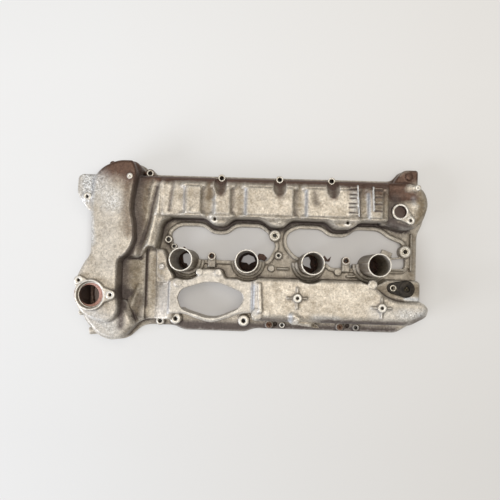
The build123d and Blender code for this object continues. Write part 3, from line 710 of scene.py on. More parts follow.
def vertex_values(mesh: bpy.types.Mesh, part: str) -> np.ndarray:
    """Reads each vertex's place in millimetres, or its normal.

    Args:
        mesh: The mesh.
        part: "co" or "normal".

    Returns:
        Three numbers for each vertex.
    """
    values = np.empty(len(mesh.vertices) * 3)
    if part == "co":
        mesh.vertices.foreach_get("co", values)
        return values.reshape(-1, 3) / MM
    mesh.vertex_normals.foreach_get("vector", values)
    return values.reshape(-1, 3)


def write_values(mesh: bpy.types.Mesh, name: str, values: np.ndarray) -> None:
    """Writes one number for each vertex into the mesh as a named attribute."""
    layer = mesh.attributes.get(name) or mesh.attributes.new(name, "FLOAT", "POINT")
    layer.data.foreach_set("value", values.astype(np.float32))


# Rolled, folded and stained places on the chain case and the shoulder beside it, with painted shade along the
# case's right-facing walls
CASE_TOUCHES = (
    # Brown dome at the far corner, cooked on
    Touch(((-232, 132), (-186, 136)), 48, russet=1.15),
    # Corroded ear and the plateau next to it
    Touch(((-262, 112), (-262, 80)), 22, chalk=0.95),
    Touch(((-243, 104), (-226, 78)), 30, chalk=0.6, low=66),
    Touch(((-214, 88), (-212, 66)), 14, chalk=0.25, low=66),
    Touch(((-254, 56), (-249, 12)), 9, chalk=0.7),
    Touch(((-226, 56), (-224, -20)), 34, chalk=0.22, low=66),
    # Brown film that thins out from the plateau's right edge
    Touch(((-196, 112), (-198, 66), (-192, 30)), 18, oil=0.45, russet=0.35, low=66),
    # The plateau's right-facing wall and its foot: brown oil stain under painted shade, the neck lug's
    # painted shadow, a painted dark wedge below it, and oil and grime at the near corner
    Touch(((-179, 128), (-185, 99), (-187, 71), (-183, 47), (-181, 26), (-191, 10), (-195, -2)), 14,
          grime_and_painted_shade=0.75, russet=0.5, low=34, high=75.5),
    Touch(((-205, -4), (-205, -54)), 13, grime_and_painted_shade=0.75, russet=0.4, low=30, high=75),
    Touch(((-211, -66), (-197, -66)), 14, grime_and_painted_shade=1.1, high=79),
    Touch(((-204, -72), (-207, -118)), 10, grime_and_painted_shade=0.95, low=15, high=79),
    Touch(((-190, -118), (-198, -132)), 12, oil=0.6, grime_and_painted_shade=0.3, low=-1, high=60),
    # Second valley, oily and with painted shade on its right-facing slope, the fold beside it and the ledge
    # between the valleys
    Touch(((-157, 102), (-164, 73), (-166, 53), (-172, 31), (-179, 11), (-181, -8)), 6,
          lift=-2.0, grime_and_painted_shade=0.65, oil=0.3, low=34, high=58),
    Touch(((-147, 111), (-153, 86), (-158, 62), (-161, 42), (-167, 15), (-169, -5)), 8,
          lift=2.8, oil=-0.3, low=34, high=60),
    Touch(((-173, 112), (-175, 78), (-176, 42)), 11, oil=0.6, russet=0.15, low=34, high=60),
    Touch(((-166, 112), (-171, 95), (-170, 80)), 4.5, lift=-0.9, grime_and_painted_shade=0.3, low=34, high=60),
    Touch(((-187, 12), (-189, -5)), 5, lift=1.2, oil=-0.2, low=34, high=60),
    Touch(((-148, 108), (-152, 62)), 9, lift=3.5, low=34, high=56.5),
    # Brown film below the far corner's bolt
    Touch(((-166, 118), (-140, 116)), 12, russet=0.5, oil=0.3, low=20, high=60),
    # White, pitted skin round the near end of the case
    Touch(((-242, -104), (-222, -122)), 30, oil=0.15, chalk=0.6, low=20, high=80),
)

# The landing, its recess and the slope up to the lens pad
LANDING_TOUCHES = (
    # Painted shadow under the step's ledge
    Touch(((-200, -10), (-182, -11)), 4.5, lift=-0.9, grime_and_painted_shade=0.85, low=30, high=56),
    Touch(((-190, -22), (-188, -52)), 19, oil=0.6, low=30, high=44),
    Touch(((-184, -60), (-198, -98)), 7, lift=2.0, oil=0.25, low=24, high=46),
    Touch(((-180, -72), (-186, -96)), 11, lift=-1.6, oil=0.6, grime_and_painted_shade=0.35, low=24, high=44),
    Touch(((-192, -104), (-172, -104)), 9, grime_and_painted_shade=0.7, low=15, high=46),
    Touch(((-203, -80), (-187, -110)), 8, lift=-2.5, grime_and_painted_shade=0.45, low=20, high=60),
    # Painted shadow along the recess's left and top walls
    Touch(((-172, 0), (-172, -86)), 5.5, grime_and_painted_shade=0.85, low=20, high=44),
    Touch(((-169, 4), (-153, 3)), 5, grime_and_painted_shade=0.7, low=20, high=50),
    Touch(((-147, -22),), 9, oil=-0.5, chalk=0.5, low=38.6, high=42),
    Touch(((-161, -8), (-161, -84)), 10, oil=0.4, low=20, high=34),
    Touch(((-154, -40), (-150, -44)), 9, lift=-2.5, low=30, high=44),
    Touch(((-146, -54), (-143, -90)), 11, oil=0.15, chalk=0.25, low=24, high=41),
    # Painted highlight on the lens pad's left edge, which faces the light
    Touch(((-134, -46), (-135, -96)), 3.4, painted_highlight=0.5, low=30, high=43),
    Touch(((-150, -20), (-148, -38)), 10, oil=0.35, low=30, high=42),
    Touch(((-186, -108), (-146, -114)), 10, grime_and_painted_shade=0.6, low=-1, high=30),
)

# Where each raised block of the upper housing begins and ends
BLOCK_SPANS = ((-114, -83), (-69, -37), (-19, 61), (75, 160), (171, 200))

# The upper camshaft housing
UPPER_TOUCHES = (
    # Brown band along the far edge
    Touch(((-150, 121), (0, 121), (141, 120), (227, 119)), 16, russet=1.5, low=14, high=64),
    Touch(((150, 108), (222, 100)), 20, russet=0.6, oil=0.15, low=14, high=66),
    # Thin film over the whole housing, heavier toward the right
    Touch(((-130, 84), (60, 84)), 60, oil=0.12, low=40, high=70),
    Touch(((186, 84), (214, 74)), 40, oil=0.42, low=40, high=70),
    # Dark seam where the housing starts
    Touch(((-131, 110), (-134, 88), (-136, 66)), 4.5, lift=-1.2, grime_and_painted_shade=0.6, low=40, high=64),
    # Valleys between the raised blocks
    Touch(((-73, 110), (-74, 88)), 9, oil=0.8, russet=0.2, low=40, high=66),
    Touch(((-74, 84), (-75, 62)), 7, oil=0.35, low=40, high=66),
    Touch(((-26, 104), (-26, 64)), 8, oil=0.35, low=40, high=60),
    Touch(((67, 106), (67, 64)), 8, oil=0.4, low=40, high=60),
    Touch(((165, 106), (166, 64)), 8, oil=0.3, low=40, high=60),
    # Painted shade on the blocks' right shoulders, which face away from the light, and painted highlights on
    # their left ones, which face it
    Touch(((-82, 104), (-82, 62)), 4.5, grime_and_painted_shade=0.5, low=50, high=66),
    Touch(((-36, 102), (-36, 62)), 4.5, grime_and_painted_shade=0.55, low=50, high=66),
    Touch(((62, 102), (62, 62)), 4.5, grime_and_painted_shade=0.6, low=50, high=66),
    Touch(((161, 102), (161, 62)), 4.5, grime_and_painted_shade=0.5, low=50, high=66),
    Touch(((-113, 104), (-113, 62)), 3.5, painted_highlight=0.35, low=52, high=66),
    Touch(((-17, 102), (-17, 62)), 4.5, painted_highlight=0.6, low=52, high=66),
    Touch(((77, 102), (78, 62)), 4.5, painted_highlight=0.6, low=52, high=66),
    Touch(((173, 98), (176, 62)), 5, painted_highlight=0.7, low=52, high=68),
    # Their ends run out into the housing
    *(Touch(((begin, y), (end, y)), 8, lift=4.0, low=50, high=60.5)
      for begin, end in BLOCK_SPANS for y in (58.5, 107.0)),
    # Troughs above the far edge's bolts
    Touch(((-57, 112), (-55, 95)), 11, russet=0.75, oil=0.4, low=24, high=66),
    Touch(((36, 112), (37, 94)), 11, russet=0.7, oil=0.4, low=24, high=66),
    Touch(((119, 112), (120, 94)), 11, russet=0.9, grime_and_painted_shade=0.15, low=24, high=66),
    # Rough patches left by the die
    Touch(((91, 98), (93, 84)), 9, lift=-0.8, grime_and_painted_shade=0.45, oil=0.3, low=55, high=68),
    Touch(((-65, 76), (-67, 51)), 7, chalk=0.6, low=36, high=66),
    Touch(((-64, 88), (-67, 84)), 4, lift=0.8, chalk=0.8, low=36, high=66),
    Touch(((10, 90), (14, 88)), 6, grime_and_painted_shade=0.35, low=55, high=68),
    Touch(((-96, 92), (-94, 88)), 5, grime_and_painted_shade=0.3, low=55, high=68),
    # The combs: painted highlights along the spines, and painted shadow beside their teeth
    Touch(((150, 100), (152, 74)), 9, chalk=0.5, oil=0.2, low=55, high=70),
    Touch(((190, 102), (192, 76)), 10, russet=0.2, oil=0.15, low=50, high=70),
    Touch(((156.5, 112), (159.5, 64)), 2.4, oil=-0.5, russet=-0.8, painted_highlight=0.8, low=62, high=72),
    Touch(((180, 110), (182, 74)), 2.4, oil=-0.5, russet=-0.8, painted_highlight=0.8, low=62, high=72),
    *(Touch(((144, y), (154, y)), 1.9, lift=-0.5, grime_and_painted_shade=0.95, low=54, high=66)
      for y in (105.5, 98.0, 91.5, 84.0, 77.5, 70.0)),
    *(Touch(((184, y), (195, y)), 1.9, lift=-0.5, grime_and_painted_shade=0.95, low=54, high=66)
      for y in (104.8, 94.0, 83.4, 72.8)),
    # Foot of the housing's near wall
    Touch(((-150, 55), (-82, 55), (-68, 43), (-46, 43), (-34, 55), (6, 55), (24, 43), (46, 43), (58, 55),
           (110, 55), (124, 43), (152, 43), (166, 55), (206, 54)), 7, grime_and_painted_shade=0.9, low=7, high=40),
)

# The right end with its empty sensor bore
END_TOUCHES = (
    Touch(((218, 92), (206, 70), (214, 48)), 15, grime_and_painted_shade=0.8, low=30, high=53),
    Touch(((214, 56), (238, 46)), 13, grime_and_painted_shade=0.8, low=8, high=53),
    Touch(((216, 100), (246, 99)), 14, lift=-2.4, russet=1.3, low=30, high=53),
    # Painted highlight on an edge turned to the light
    Touch(((246, 96), (247, 86)), 6, oil=-0.4, painted_highlight=0.3, low=30, high=53),
    Touch(((226, 52), (246, 48)), 10, grime_and_painted_shade=0.6, low=8, high=50),
    Touch(((226, 124), (250, 134)), 24, russet=1.2, low=-1, high=46),
    Touch(((258, 100), (264, 82), (258, 58)), 18, oil=0.95, low=10, high=52),
    Touch(((253, 40), (254, -26)), 12, oil=0.45, low=-1, high=30),
)

# The strip with the towers and the rails round the openings
STRIP_TOUCHES = (
    Touch(((-150, 12), (250, 12)), 80, oil=0.4, chalk=0.2, low=-1, high=27),
    Touch(((-146, 48), (-149, 30), (-142, 14)), 11, grime_and_painted_shade=0.6, oil=0.3, low=5, high=27),
    Touch(((2, -34), (190, -38)), 8, grime_and_painted_shade=0.4, low=5, high=52),
    Touch(((-140, -30), (-120, -34)), 10, grime_and_painted_shade=0.5, low=5, high=30),
    Touch(((-70, -18), (-40, -30)), 10, grime_and_painted_shade=0.35, low=5, high=30),
)

# The lower camshaft housing, the lens pad and the near edge
LOWER_TOUCHES = (
    Touch(((-125, -58), (-92, -34), (-50, -34), (-5, -52), (-8, -84), (-66, -104), (-124, -86),
           (-125, -58)), 20, chalk=0.3, low=38, high=47),
    # Painted highlights on the left flank of the rib beside the lens pad, and on the bulge's left face
    Touch(((0, -49), (-1, -84)), 6, painted_highlight=0.85, low=38, high=70),
    Touch(((4, -90),), 10, painted_highlight=0.5, low=38, high=70),
    Touch(((59, -92), (58, -102)), 6, painted_highlight=0.9, low=38, high=70),
    Touch(((186, -84), (262, -88)), 18, chalk=0.4, low=40, high=62),
    Touch(((232, -84), (268, -80)), 16, chalk=0.4, low=40, high=62),
    Touch(((96, -95), (130, -96)), 10, chalk=0.45, low=40, high=62),
    # Painted shade along the lower housing's near roll
    Touch(((14, -102), (71, -104), (150, -104), (226, -104), (262, -94)), 14, grime_and_painted_shade=0.85, low=20, high=56.5),
    # The bulge in the near edge and its tail
    Touch(((63, -95), (70, -100)), 12, lift=4.0, grime_and_painted_shade=-0.5, low=12, high=60),
    Touch(((72, -101), (86, -105)), 11, lift=5.5, grime_and_painted_shade=-0.4, low=36, high=60),
    Touch(((97, -109), (104, -111)), 8, lift=-10.0, low=28, high=47),
    Touch(((66, -100), (98, -108)), 13, grime_and_painted_shade=-0.9, low=8, high=60),
    # Grime and painted shade along the near roll and on the near flange
    Touch(((112, -103), (226, -103)), 12, grime_and_painted_shade=0.5, low=16, high=56.5),
    Touch(((-126, -120), (226, -120)), 20, grime_and_painted_shade=1.45, low=-1, high=38),
    Touch(((118, -100), (128, -106)), 6, grime_and_painted_shade=0.6, low=20, high=60),
    # Painted highlight on the shelf corner under the sensor, over chalky skin
    Touch(((238, -61), (257, -62)), 5.5, oil=-0.6, grime_and_painted_shade=-0.4, chalk=0.4, painted_highlight=0.9, low=38, high=50),
    Touch(((196, -52), (214, -62), (232, -64)), 4, grime_and_painted_shade=0.6, low=40, high=56),
    Touch(((200, -48), (256, -48)), 18, oil=0.6, grime_and_painted_shade=0.2, low=38, high=47),
    # Bright flank and worn top of the rib between the lens pad and the housing
    Touch(((5, -50), (9, -84)), 5, oil=-0.3, grime_and_painted_shade=-0.4, low=50, high=70),
)


@dataclass(frozen=True)
class TurnedFace:
    """One size of milled rim, spot face or boss top, and where it stands on the casting."""

    name: str
    places: tuple[Place, ...]
    sizes: tuple[float, float, float, float]
    top: Finish = Finish.MILLED


# Each row's sizes are outer radius, hole radius, depth and edge break
TURNED_FACES = (
    TurnedFace("edge_faces", ((-57, 122, 32.1), (36, 122, 32.1), (119, 122, 32.1)), (6.0, 3.4, 4, 0.3)),
    TurnedFace("pad_faces", ((-124, -105, 30.1), (-15, -105, 30.1)), (7.8, 3.4, 5, 0.4)),
    TurnedFace("rail_faces", ((-173, 127, 30.1), (-141, 22, 20.1), (-150, -110, 20.1)), (5.7, 3.4, 4, 0.3)),
    TurnedFace("small_faces", ((-132, 11, 17.1), (47, -111, 15.1), (38, 1, 20.1)), (4.4, 2.8, 3, 0.25)),
    TurnedFace("roof_faces", ((-64, 54, 58.3), (143, 54, 58.3), (-261, 82, 73.1)), (6.2, 2.5, 5, 0.3)),
    TurnedFace("stud_faces", ((68, -65, 66.1), (198, -76, 66.1)), (6.6, 2.5, 6, 0.3)),
    TurnedFace("sleeve_faces", ((31, 33, 22.1), (241, 13, 22.1)), (8.0, 5.0, 4, 0.3)),
    TurnedFace("tab_faces", ((-70, -3, 20.1), (147, -4, 20.1)), (6.4, 4.4, 3, 0.3)),
    TurnedFace("neck_seat", ((-248, -69, 84.1),), (23.4, 20.7, 6, 0.4)),
    TurnedFace("neck_step", ((-248, -69, 77.1),), (20.8, 18.3, 6, 0.3)),
    TurnedFace("neck_ledge", ((-251.5, -69, 73.0),), (23.8, 15.2, 2.5, 0.4), Finish.LACQUER),
    TurnedFace("neck_lugs", ((-217, -68, 84.1), (-266, -47, 84.1)), (6.8, 2.5, 5, 0.4)),
    TurnedFace("cam_face", ((225, 74, 54.1),), (12.8, 9.5, 6, 0.4)),
    TurnedFace("blind_bosses", ((252.5, 113, 50.4), (-195, 115, 77.8)), (4.5, 0.6, 10, 0.5)),
    TurnedFace("cast_buttons", ((37, 54, 59.4), (-270, -98.5, 50.2), (-147, -22, 39.9)), (4.3, 0.6, 8, 0.8),
               Finish.CAST),
    TurnedFace("cam_lug", ((241, 61, 54.1),), (6.3, 2.5, 5, 0.3)),
)


@dataclass
class CoverCasting:
    """The one-piece cover: its cast skin, rubbed edges and milled faces."""

    voxel: float = 1.15
    smoothing: int = 3
    grain: tuple[float, float] = (3.4, 0.55)
    triangles: int = 160000
    tower_pitch: float = 98.0
    first_tower: float = -109.0
    tower_y: float = -11.0
    tower_top: float = 105.0
    tower_radius: float = 17.5
    tower_rim: tuple[float, float, float, float] = (17.55, 15.7, 1.3, 0.25)
    bore_radius: float = 15.5
    # Below this height the landing's own stains cover the feet of the towers
    collar_top: float = 26.0
    # How many times a point is averaged with its neighbours to find edges and corners
    relief_steps: int = 6
    # X, Y, reach and top of the neck's and the empty sensor bore's brown insides
    bores: tuple[tuple[float, float, float, float], ...] = ((-248, -69, 31, 75.5), (225, 74, 14, 52.5))
    touches: tuple[Touch, ...] = (
        CASE_TOUCHES + LANDING_TOUCHES + UPPER_TOUCHES + END_TOUCHES + STRIP_TOUCHES + LOWER_TOUCHES
    )

    def towers(self) -> list[Point]:
        """The middle of each coil tower."""
        return [(self.first_tower + self.tower_pitch * i, self.tower_y) for i in range(4)]

    def skin(self, finishes: Finishes) -> bpy.types.Object:
        """Rounds and roughens the CAD solid as casting and blasting leave it.

        Args:
            finishes: The materials.

        Returns:
            The cast body as one mesh.
        """
        piece = merged_copy("cover_casting", "cover_casting_skin")
        remesh = piece.modifiers.new("Skin", "REMESH")
        remesh.mode = "VOXEL"
        remesh.voxel_size = self.voxel * MM * 1.0
        soften = piece.modifiers.new("Soften", "SMOOTH")
        soften.factor = 0.5
        soften.iterations = self.smoothing
        baked(piece)
        self.sculpt(piece.data)
        RoughSkin(finishes[Finish.CAST]).modify(piece, self.grain)
        baked(piece)
        ratio = self.triangles / (2 * len(piece.data.polygons))
        LOG.info("cast skin: %d faces before thinning", len(piece.data.polygons))
        if ratio < 1:
            thin = piece.modifiers.new("Thin", "DECIMATE")
            thin.ratio = ratio
            baked(piece)
        return piece

    def sculpt(self, mesh: bpy.types.Mesh) -> None:
        """Raises folds and presses valleys into the upward faces, and marks how rough they are.

        Args:
            mesh: The cast body.
        """
        points = vertex_values(mesh, "co")
        upward = np.clip(vertex_values(mesh, "normal")[:, 2], 0, 1)
        top = np.flatnonzero(upward > 0.1)
        lift = np.zeros(len(top))
        flaky = np.zeros(len(top))
        for touch in self.touches:
            if touch.lift or touch.chalk:
                weight = touch.weight(points[top])
                lift += touch.lift * weight
                flaky += touch.chalk * weight
        points[top, 2] += lift * upward[top]
        mesh.vertices.foreach_set("co", (points * MM).ravel())
        rough = np.zeros(len(points))
        rough[top] = upward[top] * (1 + 1.5 * np.clip(flaky, 0, 1)) * (points[top, 2] < self.tower_top - 3)
        write_values(mesh, "rough", rough)
        mesh.update()

    def build(self, finishes: Finishes) -> bpy.types.Object:
        """Makes the casting with its milled faces.

        Args:
            finishes: The materials.

        Returns:
            The finished casting.
        """
        piece = self.skin(finishes)
        piece.data.materials.append(finishes[Finish.MILLED])
        piece.data.shade_smooth()
        piece = self.joined(piece, self.milled_rings(finishes))
        self.stain(piece.data)
        piece.name = piece.data.name = "valve_cover_casting"
        settle(piece, "cast_aluminium", "cover_casting")
        return piece

    def joined(self, piece: bpy.types.Object, others: list[bpy.types.Object]) -> bpy.types.Object:
        """Joins other objects into the first.

        Args:
            piece: The object that stays.
            others: The objects that go into it.

        Returns:
            The first object.
        """
        with bpy.context.temp_override(active_object=piece, selected_editable_objects=[piece, *others]):
            bpy.ops.object.join()
        return piece

    def milled_rings(self, finishes: Finishes) -> list[bpy.types.Object]:
        """The turned rims, spot faces and boss tops.

        Args:
            finishes: The materials.

        Returns:
            The rings, one object for each size.
        """
        rims = TurnedFace(
            "tower_rims", tuple((x, y, self.tower_top) for x, y in self.towers()), self.tower_rim)
        trees: dict[Finish, RingTree] = {}
        pieces = []
        for face in (rims, *TURNED_FACES):
            if face.top not in trees:
                trees[face.top] = RingTree(finishes[Finish.CAST], finishes[face.top])
            pieces.append(trees[face.top].rings(face.name, face.places, face.sizes))
        return pieces

    def stain(self, mesh: bpy.types.Mesh) -> None:
        """Writes the oil, grime, corrosion and wear of each point into the mesh, with the painted shade and
        painted highlights of the strokes.

        Args:
            mesh: The cast body with its rings.
        """
        points = vertex_values(mesh, "co")
        normals = vertex_values(mesh, "normal")
        hollow = self.relief(mesh, points, normals)
        upward = np.clip(normals[:, 2] + 0.4, 0, 1)
        stains = {name: np.zeros(len(points)) for name in ("oil", "russet", "grime_and_painted_shade", "chalk", "painted_highlight")}
        for touch in self.touches:
            weight = touch.weight(points)
            for name, values in stains.items():
                if getattr(touch, name):
                    values += getattr(touch, name) * weight
        under = np.clip(-0.1 - normals[:, 2], 0, 1)
        stains["oil"] += 0.2 + under
        stains["russet"] += 0.6 * under
        stains["chalk"] *= upward
        stains["painted_highlight"] *= upward
        self.stain_towers(stains, points)
        self.stain_bores(stains, points, normals)
        stains["grime_and_painted_shade"] += np.clip(-hollow * 0.35 - 0.05, 0, 0.4)
        stains["worn"] = np.clip(hollow * 0.5 - 0.15, 0, 0.3) * upward * (1 - np.clip(stains["russet"], 0, 1))
        for name, values in stains.items():
            write_values(mesh, name, np.clip(values, 0, 1.6))

    def stain_towers(self, stains: dict[str, np.ndarray], points: np.ndarray) -> None:
        """Varnishes the towers' outer walls and leaves their bores cleaner.

        Args:
            stains: The stains of each point, which are changed.
            points: The points in millimetres.
        """
        for x, y in self.towers():
            away = np.hypot(points[:, 0] - x, points[:, 1] - y)
            wall = (away < self.tower_radius + 0.6) & (points[:, 2] < self.tower_top - 1.4)
            inside = wall & (away < (self.tower_radius + self.bore_radius) / 2)
            stains["oil"] += 0.7 * (wall & ~inside)
            stains["grime_and_painted_shade"] += 0.35 * (wall & ~inside & (points[:, 2] > self.collar_top))
            stains["oil"] -= 0.15 * inside

    def stain_bores(self, stains: dict[str, np.ndarray], points: np.ndarray, normals: np.ndarray) -> None:
        """Cooks the oil brown inside the neck and the empty sensor bore.

        Args:
            stains: The stains of each point, which are changed.
            points: The points in millimetres.
            normals: Their normals.
        """
        for x, y, radius, top in self.bores:
            offset = points[:, :2] - (x, y)
            away = np.hypot(*offset.T)
            facing = (normals[:, :2] * offset).sum(axis=1) < -0.3 * away
            deep = (normals[:, 2] > 0.3) & (points[:, 2] < top - 20)
            inside = (away < radius) & (points[:, 2] < top) & (facing | deep)
            stains["russet"] += 1.0 * inside
            stains["grime_and_painted_shade"] += 0.2 * inside

    def relief(self, mesh: bpy.types.Mesh, points: np.ndarray, normals: np.ndarray) -> np.ndarray:
        """How far each point stands out of, or lies in, the surface round it.

        Args:
            mesh: The cast body.
            points: Its points in millimetres.
            normals: Its normals.

        Returns:
            Millimetres: above zero on an outer edge, below zero in a corner.
        """
        pairs = np.empty(len(mesh.edges) * 2, dtype=np.int32)
        mesh.edges.foreach_get("vertices", pairs)
        first, second = pairs.reshape(-1, 2).T
        count = len(points)
        shared = np.bincount(first, minlength=count) + np.bincount(second, minlength=count)
        smooth = points.copy()
        for _ in range(self.relief_steps):
            total = np.zeros_like(smooth)
            for axis in range(3):
                total[:, axis] = np.bincount(first, smooth[second, axis], count)
                total[:, axis] += np.bincount(second, smooth[first, axis], count)
            smooth = total / np.maximum(shared, 1)[:, None]
        return ((points - smooth) * normals).sum(axis=1)


# ---------------------------------------------------------------- smaller pieces


@dataclass
class TowerSeals:
    """The four oil-hardened rubber seals in the feet of the coil towers."""

    voxel: float = 0.45

    def build(self, finishes: Finishes) -> list[bpy.types.Object]:
        """Makes the seals with rounded tears.

        Args:
            finishes: The materials.

        Returns:
            The seals.
        """
        pieces = []
        for number in range(1, 5):
            piece = merged_copy(f"tower_seal_{number}", f"torn_tower_seal_{number}")
            remesh = piece.modifiers.new("Skin", "REMESH")
            remesh.mode = "VOXEL"
            remesh.voxel_size = self.voxel * MM
            soften = piece.modifiers.new("Soften", "SMOOTH")
            soften.iterations = 2
            baked(piece)
            piece.data.materials.append(finishes[Finish.SEAL])
            piece.data.shade_smooth()
            settle(piece, "tower_seal_rubber", f"tower_seal_{number}")
            pieces.append(piece)
        return pieces


@dataclass
class Hardware:
    """The sensor, sleeves, inserts, dowels and bolts, with their edges eased."""

    edge: float = 0.35
    segments: int = 2
    bevel_from: float = 35.0
    sharp_from: float = 40.0

    def eased(
        self, node: str, name: str, finish: bpy.types.Material, slot: str, edge: float,
    ) -> bpy.types.Object:
        """Copies a CAD node and breaks its sharp edges.

        Args:
            node: The CAD node.
            name: The new piece's name.
            finish: Its material.
            slot: Passed on to settle.
            edge: The width of the broken edge.

        Returns:
            The new piece.
        """
        piece = merged_copy(node, name)
        bevel = piece.modifiers.new("Edge", "BEVEL")
        bevel.width = edge * MM
        bevel.segments = self.segments
        bevel.limit_method = "ANGLE"
        bevel.angle_limit = math.radians(self.bevel_from)
        bevel.use_clamp_overlap = True
        baked(piece)
        piece.data.materials.append(finish)
        piece.data.shade_smooth()
        piece.data.set_sharp_from_angle(angle=math.radians(self.sharp_from))
        settle(piece, slot, node)
        return piece

    def build(self, finishes: Finishes) -> list[bpy.types.Object]:
        """Makes the small parts.

        Args:
            finishes: The materials.

        Returns:
            The pieces.
        """
        plan = [
            ("camshaft_sensor", "camshaft_sensor_body", Finish.PLASTIC, "black_plastic", 0.4),
            ("sensor_sleeve", "sensor_sleeve_turned", Finish.ZINC, "zinc_steel", 0.3),
            ("sensor_contacts", "sensor_contact_blades", Finish.CONTACT, "tinned_brass", 0.12),
            ("edge_bolt_left", "edge_bolt_left_head", Finish.RUST, "rusty_steel", 0.3),
            ("edge_bolt_right", "edge_bolt_right_head", Finish.RUST, "rusty_steel", 0.3),
            ("insert_left", "insert_left_turned", Finish.RUST, "rusty_steel", 0.25),
            ("insert_right", "insert_right_turned", Finish.RUST, "rusty_steel", 0.25),
            ("spacer_sleeve_middle", "spacer_sleeve_middle_turned", Finish.ZINC, "zinc_steel", 0.3),
            ("spacer_sleeve_right", "spacer_sleeve_right_turned", Finish.ZINC, "zinc_steel", 0.3),
            ("dowel_lower", "dowel_lower_turned", Finish.ZINC, "zinc_steel", 0.3),
            ("dowel_upper", "dowel_upper_turned", Finish.ZINC, "zinc_steel", 0.3),
            ("baffle_plate", "separator_sheet", Finish.SHEET, "sheet_steel", 0.3),
            ("baffle_screws", "separator_screws", Finish.ZINC, "zinc_steel", 0.3),
        ]
        pieces = [
            self.eased(node, name, finishes[finish], slot, edge) for node, name, finish, slot, edge in plan
        ]
        for node, finish in (("perimeter_gasket", Finish.GASKET), ("sensor_o_ring", Finish.GASKET)):
            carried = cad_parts[node]
            carried.data.materials.clear()
            carried.data.materials.append(finishes[finish])
            LOG.info("%s: dressed as it is", node)
        return pieces


# ---------------------------------------------------------------- the studio


@dataclass(frozen=True)
class TablePaper:
    """Matt pale paper: its faint glow is the light of a whole room, which no small lamp gives."""

    window_side: str = "ACACAB"
    room_side: str = "ACABA8"
    window_glow: str = "A9A9A9"
    room_glow: str = "A3A19F"
    # Painted shade: the dim glow under the closed chambers
    chamber_shade_glow: str = "42322A"
    tooth_scale: float = 900.0
    tooth_mm: float = 0.05
    # Where the paper turns from cool to warm, and from dim to bright, in metres
    warm_between: tuple[float, float] = (-0.28, 0.34)
    bright_between: tuple[float, float] = (-0.3, 0.3)
    brightness: tuple[float, float] = (0.93, 1.16)
    shadow_mm: float = 12.0

    def make(self) -> bpy.types.Material:
        """Builds the material.

        Returns:
            The material.
        """
        material, tree, place = new_material("MattPaperTable")
        tooth = add_node(tree, "ShaderNodeTexNoise", {
            "Vector": place, "Scale": self.tooth_scale, "Detail": 2.0})
        bump = add_node(tree, "ShaderNodeBump", {
            "Height": tooth.outputs["Fac"], "Strength": 0.05, "Distance": self.tooth_mm * MM})
        across, away = add_node(tree, "ShaderNodeSeparateXYZ", {0: place}).outputs[:2]
        warm = add_node(tree, "ShaderNodeMapRange", {
            "Value": across, "From Min": self.warm_between[0], "From Max": self.warm_between[1]})
        paper = add_node(tree, "ShaderNodeMix", {
            0: warm.outputs["Result"],
            6: linear(self.window_side), 7: linear(self.room_side)}, data_type="RGBA")
        pale = add_node(tree, "ShaderNodeMix", {
            0: warm.outputs["Result"],
            6: linear(self.window_glow), 7: linear(self.room_glow)}, data_type="RGBA")
        # Small holes and the closed chambers let no light down to the table
        shade = add_node(tree, "ShaderNodeAttribute", attribute_name="painted_table_shade")
        dim = add_node(tree, "ShaderNodeMix", {
            0: shade.outputs["Fac"], 6: pale.outputs[2], 7: linear(self.chamber_shade_glow)}, data_type="RGBA")
        finish_material(tree, {
            "Base Color": paper.outputs[2], "Roughness": 0.95, "Specular IOR Level": 0.1,
            "Emission Color": dim.outputs[2], "Emission Strength": self.glow(tree, away),
            "Normal": bump.outputs[0]})
        return material

    def glow(self, tree: bpy.types.NodeTree, away: bpy.types.NodeSocket) -> bpy.types.NodeSocket:
        """Builds the strength of the glow: seen, but not lighting the cover, and none in small gaps.

        Args:
            tree: The material's node tree.
            away: The place along the table in metres.

        Returns:
            The socket with the strength.
        """
        nearby = add_node(tree, "ShaderNodeAmbientOcclusion", {"Distance": self.shadow_mm * MM}, samples=8)
        free = add_node(tree, "ShaderNodeMapRange", {
            "Value": nearby.outputs["AO"], "From Min": 0.12, "From Max": 0.5})
        rays = add_node(tree, "ShaderNodeLightPath").outputs
        direct = add_node(tree, "ShaderNodeMath", {
            0: rays["Is Camera Ray"], 1: rays["Is Glossy Ray"]}, operation="MAXIMUM")
        seen = add_node(tree, "ShaderNodeMath", {
            0: direct.outputs[0], 1: rays["Is Transmission Ray"]}, operation="MAXIMUM")
        open_glow = add_node(tree, "ShaderNodeMath", {
            0: seen.outputs[0], 1: free.outputs["Result"]}, operation="MULTIPLY")
        farther = add_node(tree, "ShaderNodeMapRange", {
            "Value": away, "From Min": self.bright_between[0], "From Max": self.bright_between[1],
            "To Min": self.brightness[0], "To Max": self.brightness[1]})
        return add_node(tree, "ShaderNodeMath", {
            0: open_glow.outputs[0], 1: farther.outputs["Result"]}, operation="MULTIPLY").outputs[0]


@dataclass(frozen=True)
class SoftLamp:
    """A square lamp that shines at the origin."""

    name: str
    place: Place
    watts: float
    size: float
    tint: str

    def hang(self) -> None:
        """Puts the lamp in the scene."""
        lamp = bpy.data.lights.new(self.name, "AREA")
        lamp.energy = self.watts
        lamp.color = linear(self.tint)[:3]
        lamp.size = self.size * MM
        holder = bpy.data.objects.new(self.name, lamp)
        holder.location = metres(*self.place)
        holder.rotation_euler = metres(*self.place).to_track_quat("Z", "Y").to_euler()
        bpy.context.scene.collection.objects.link(holder)


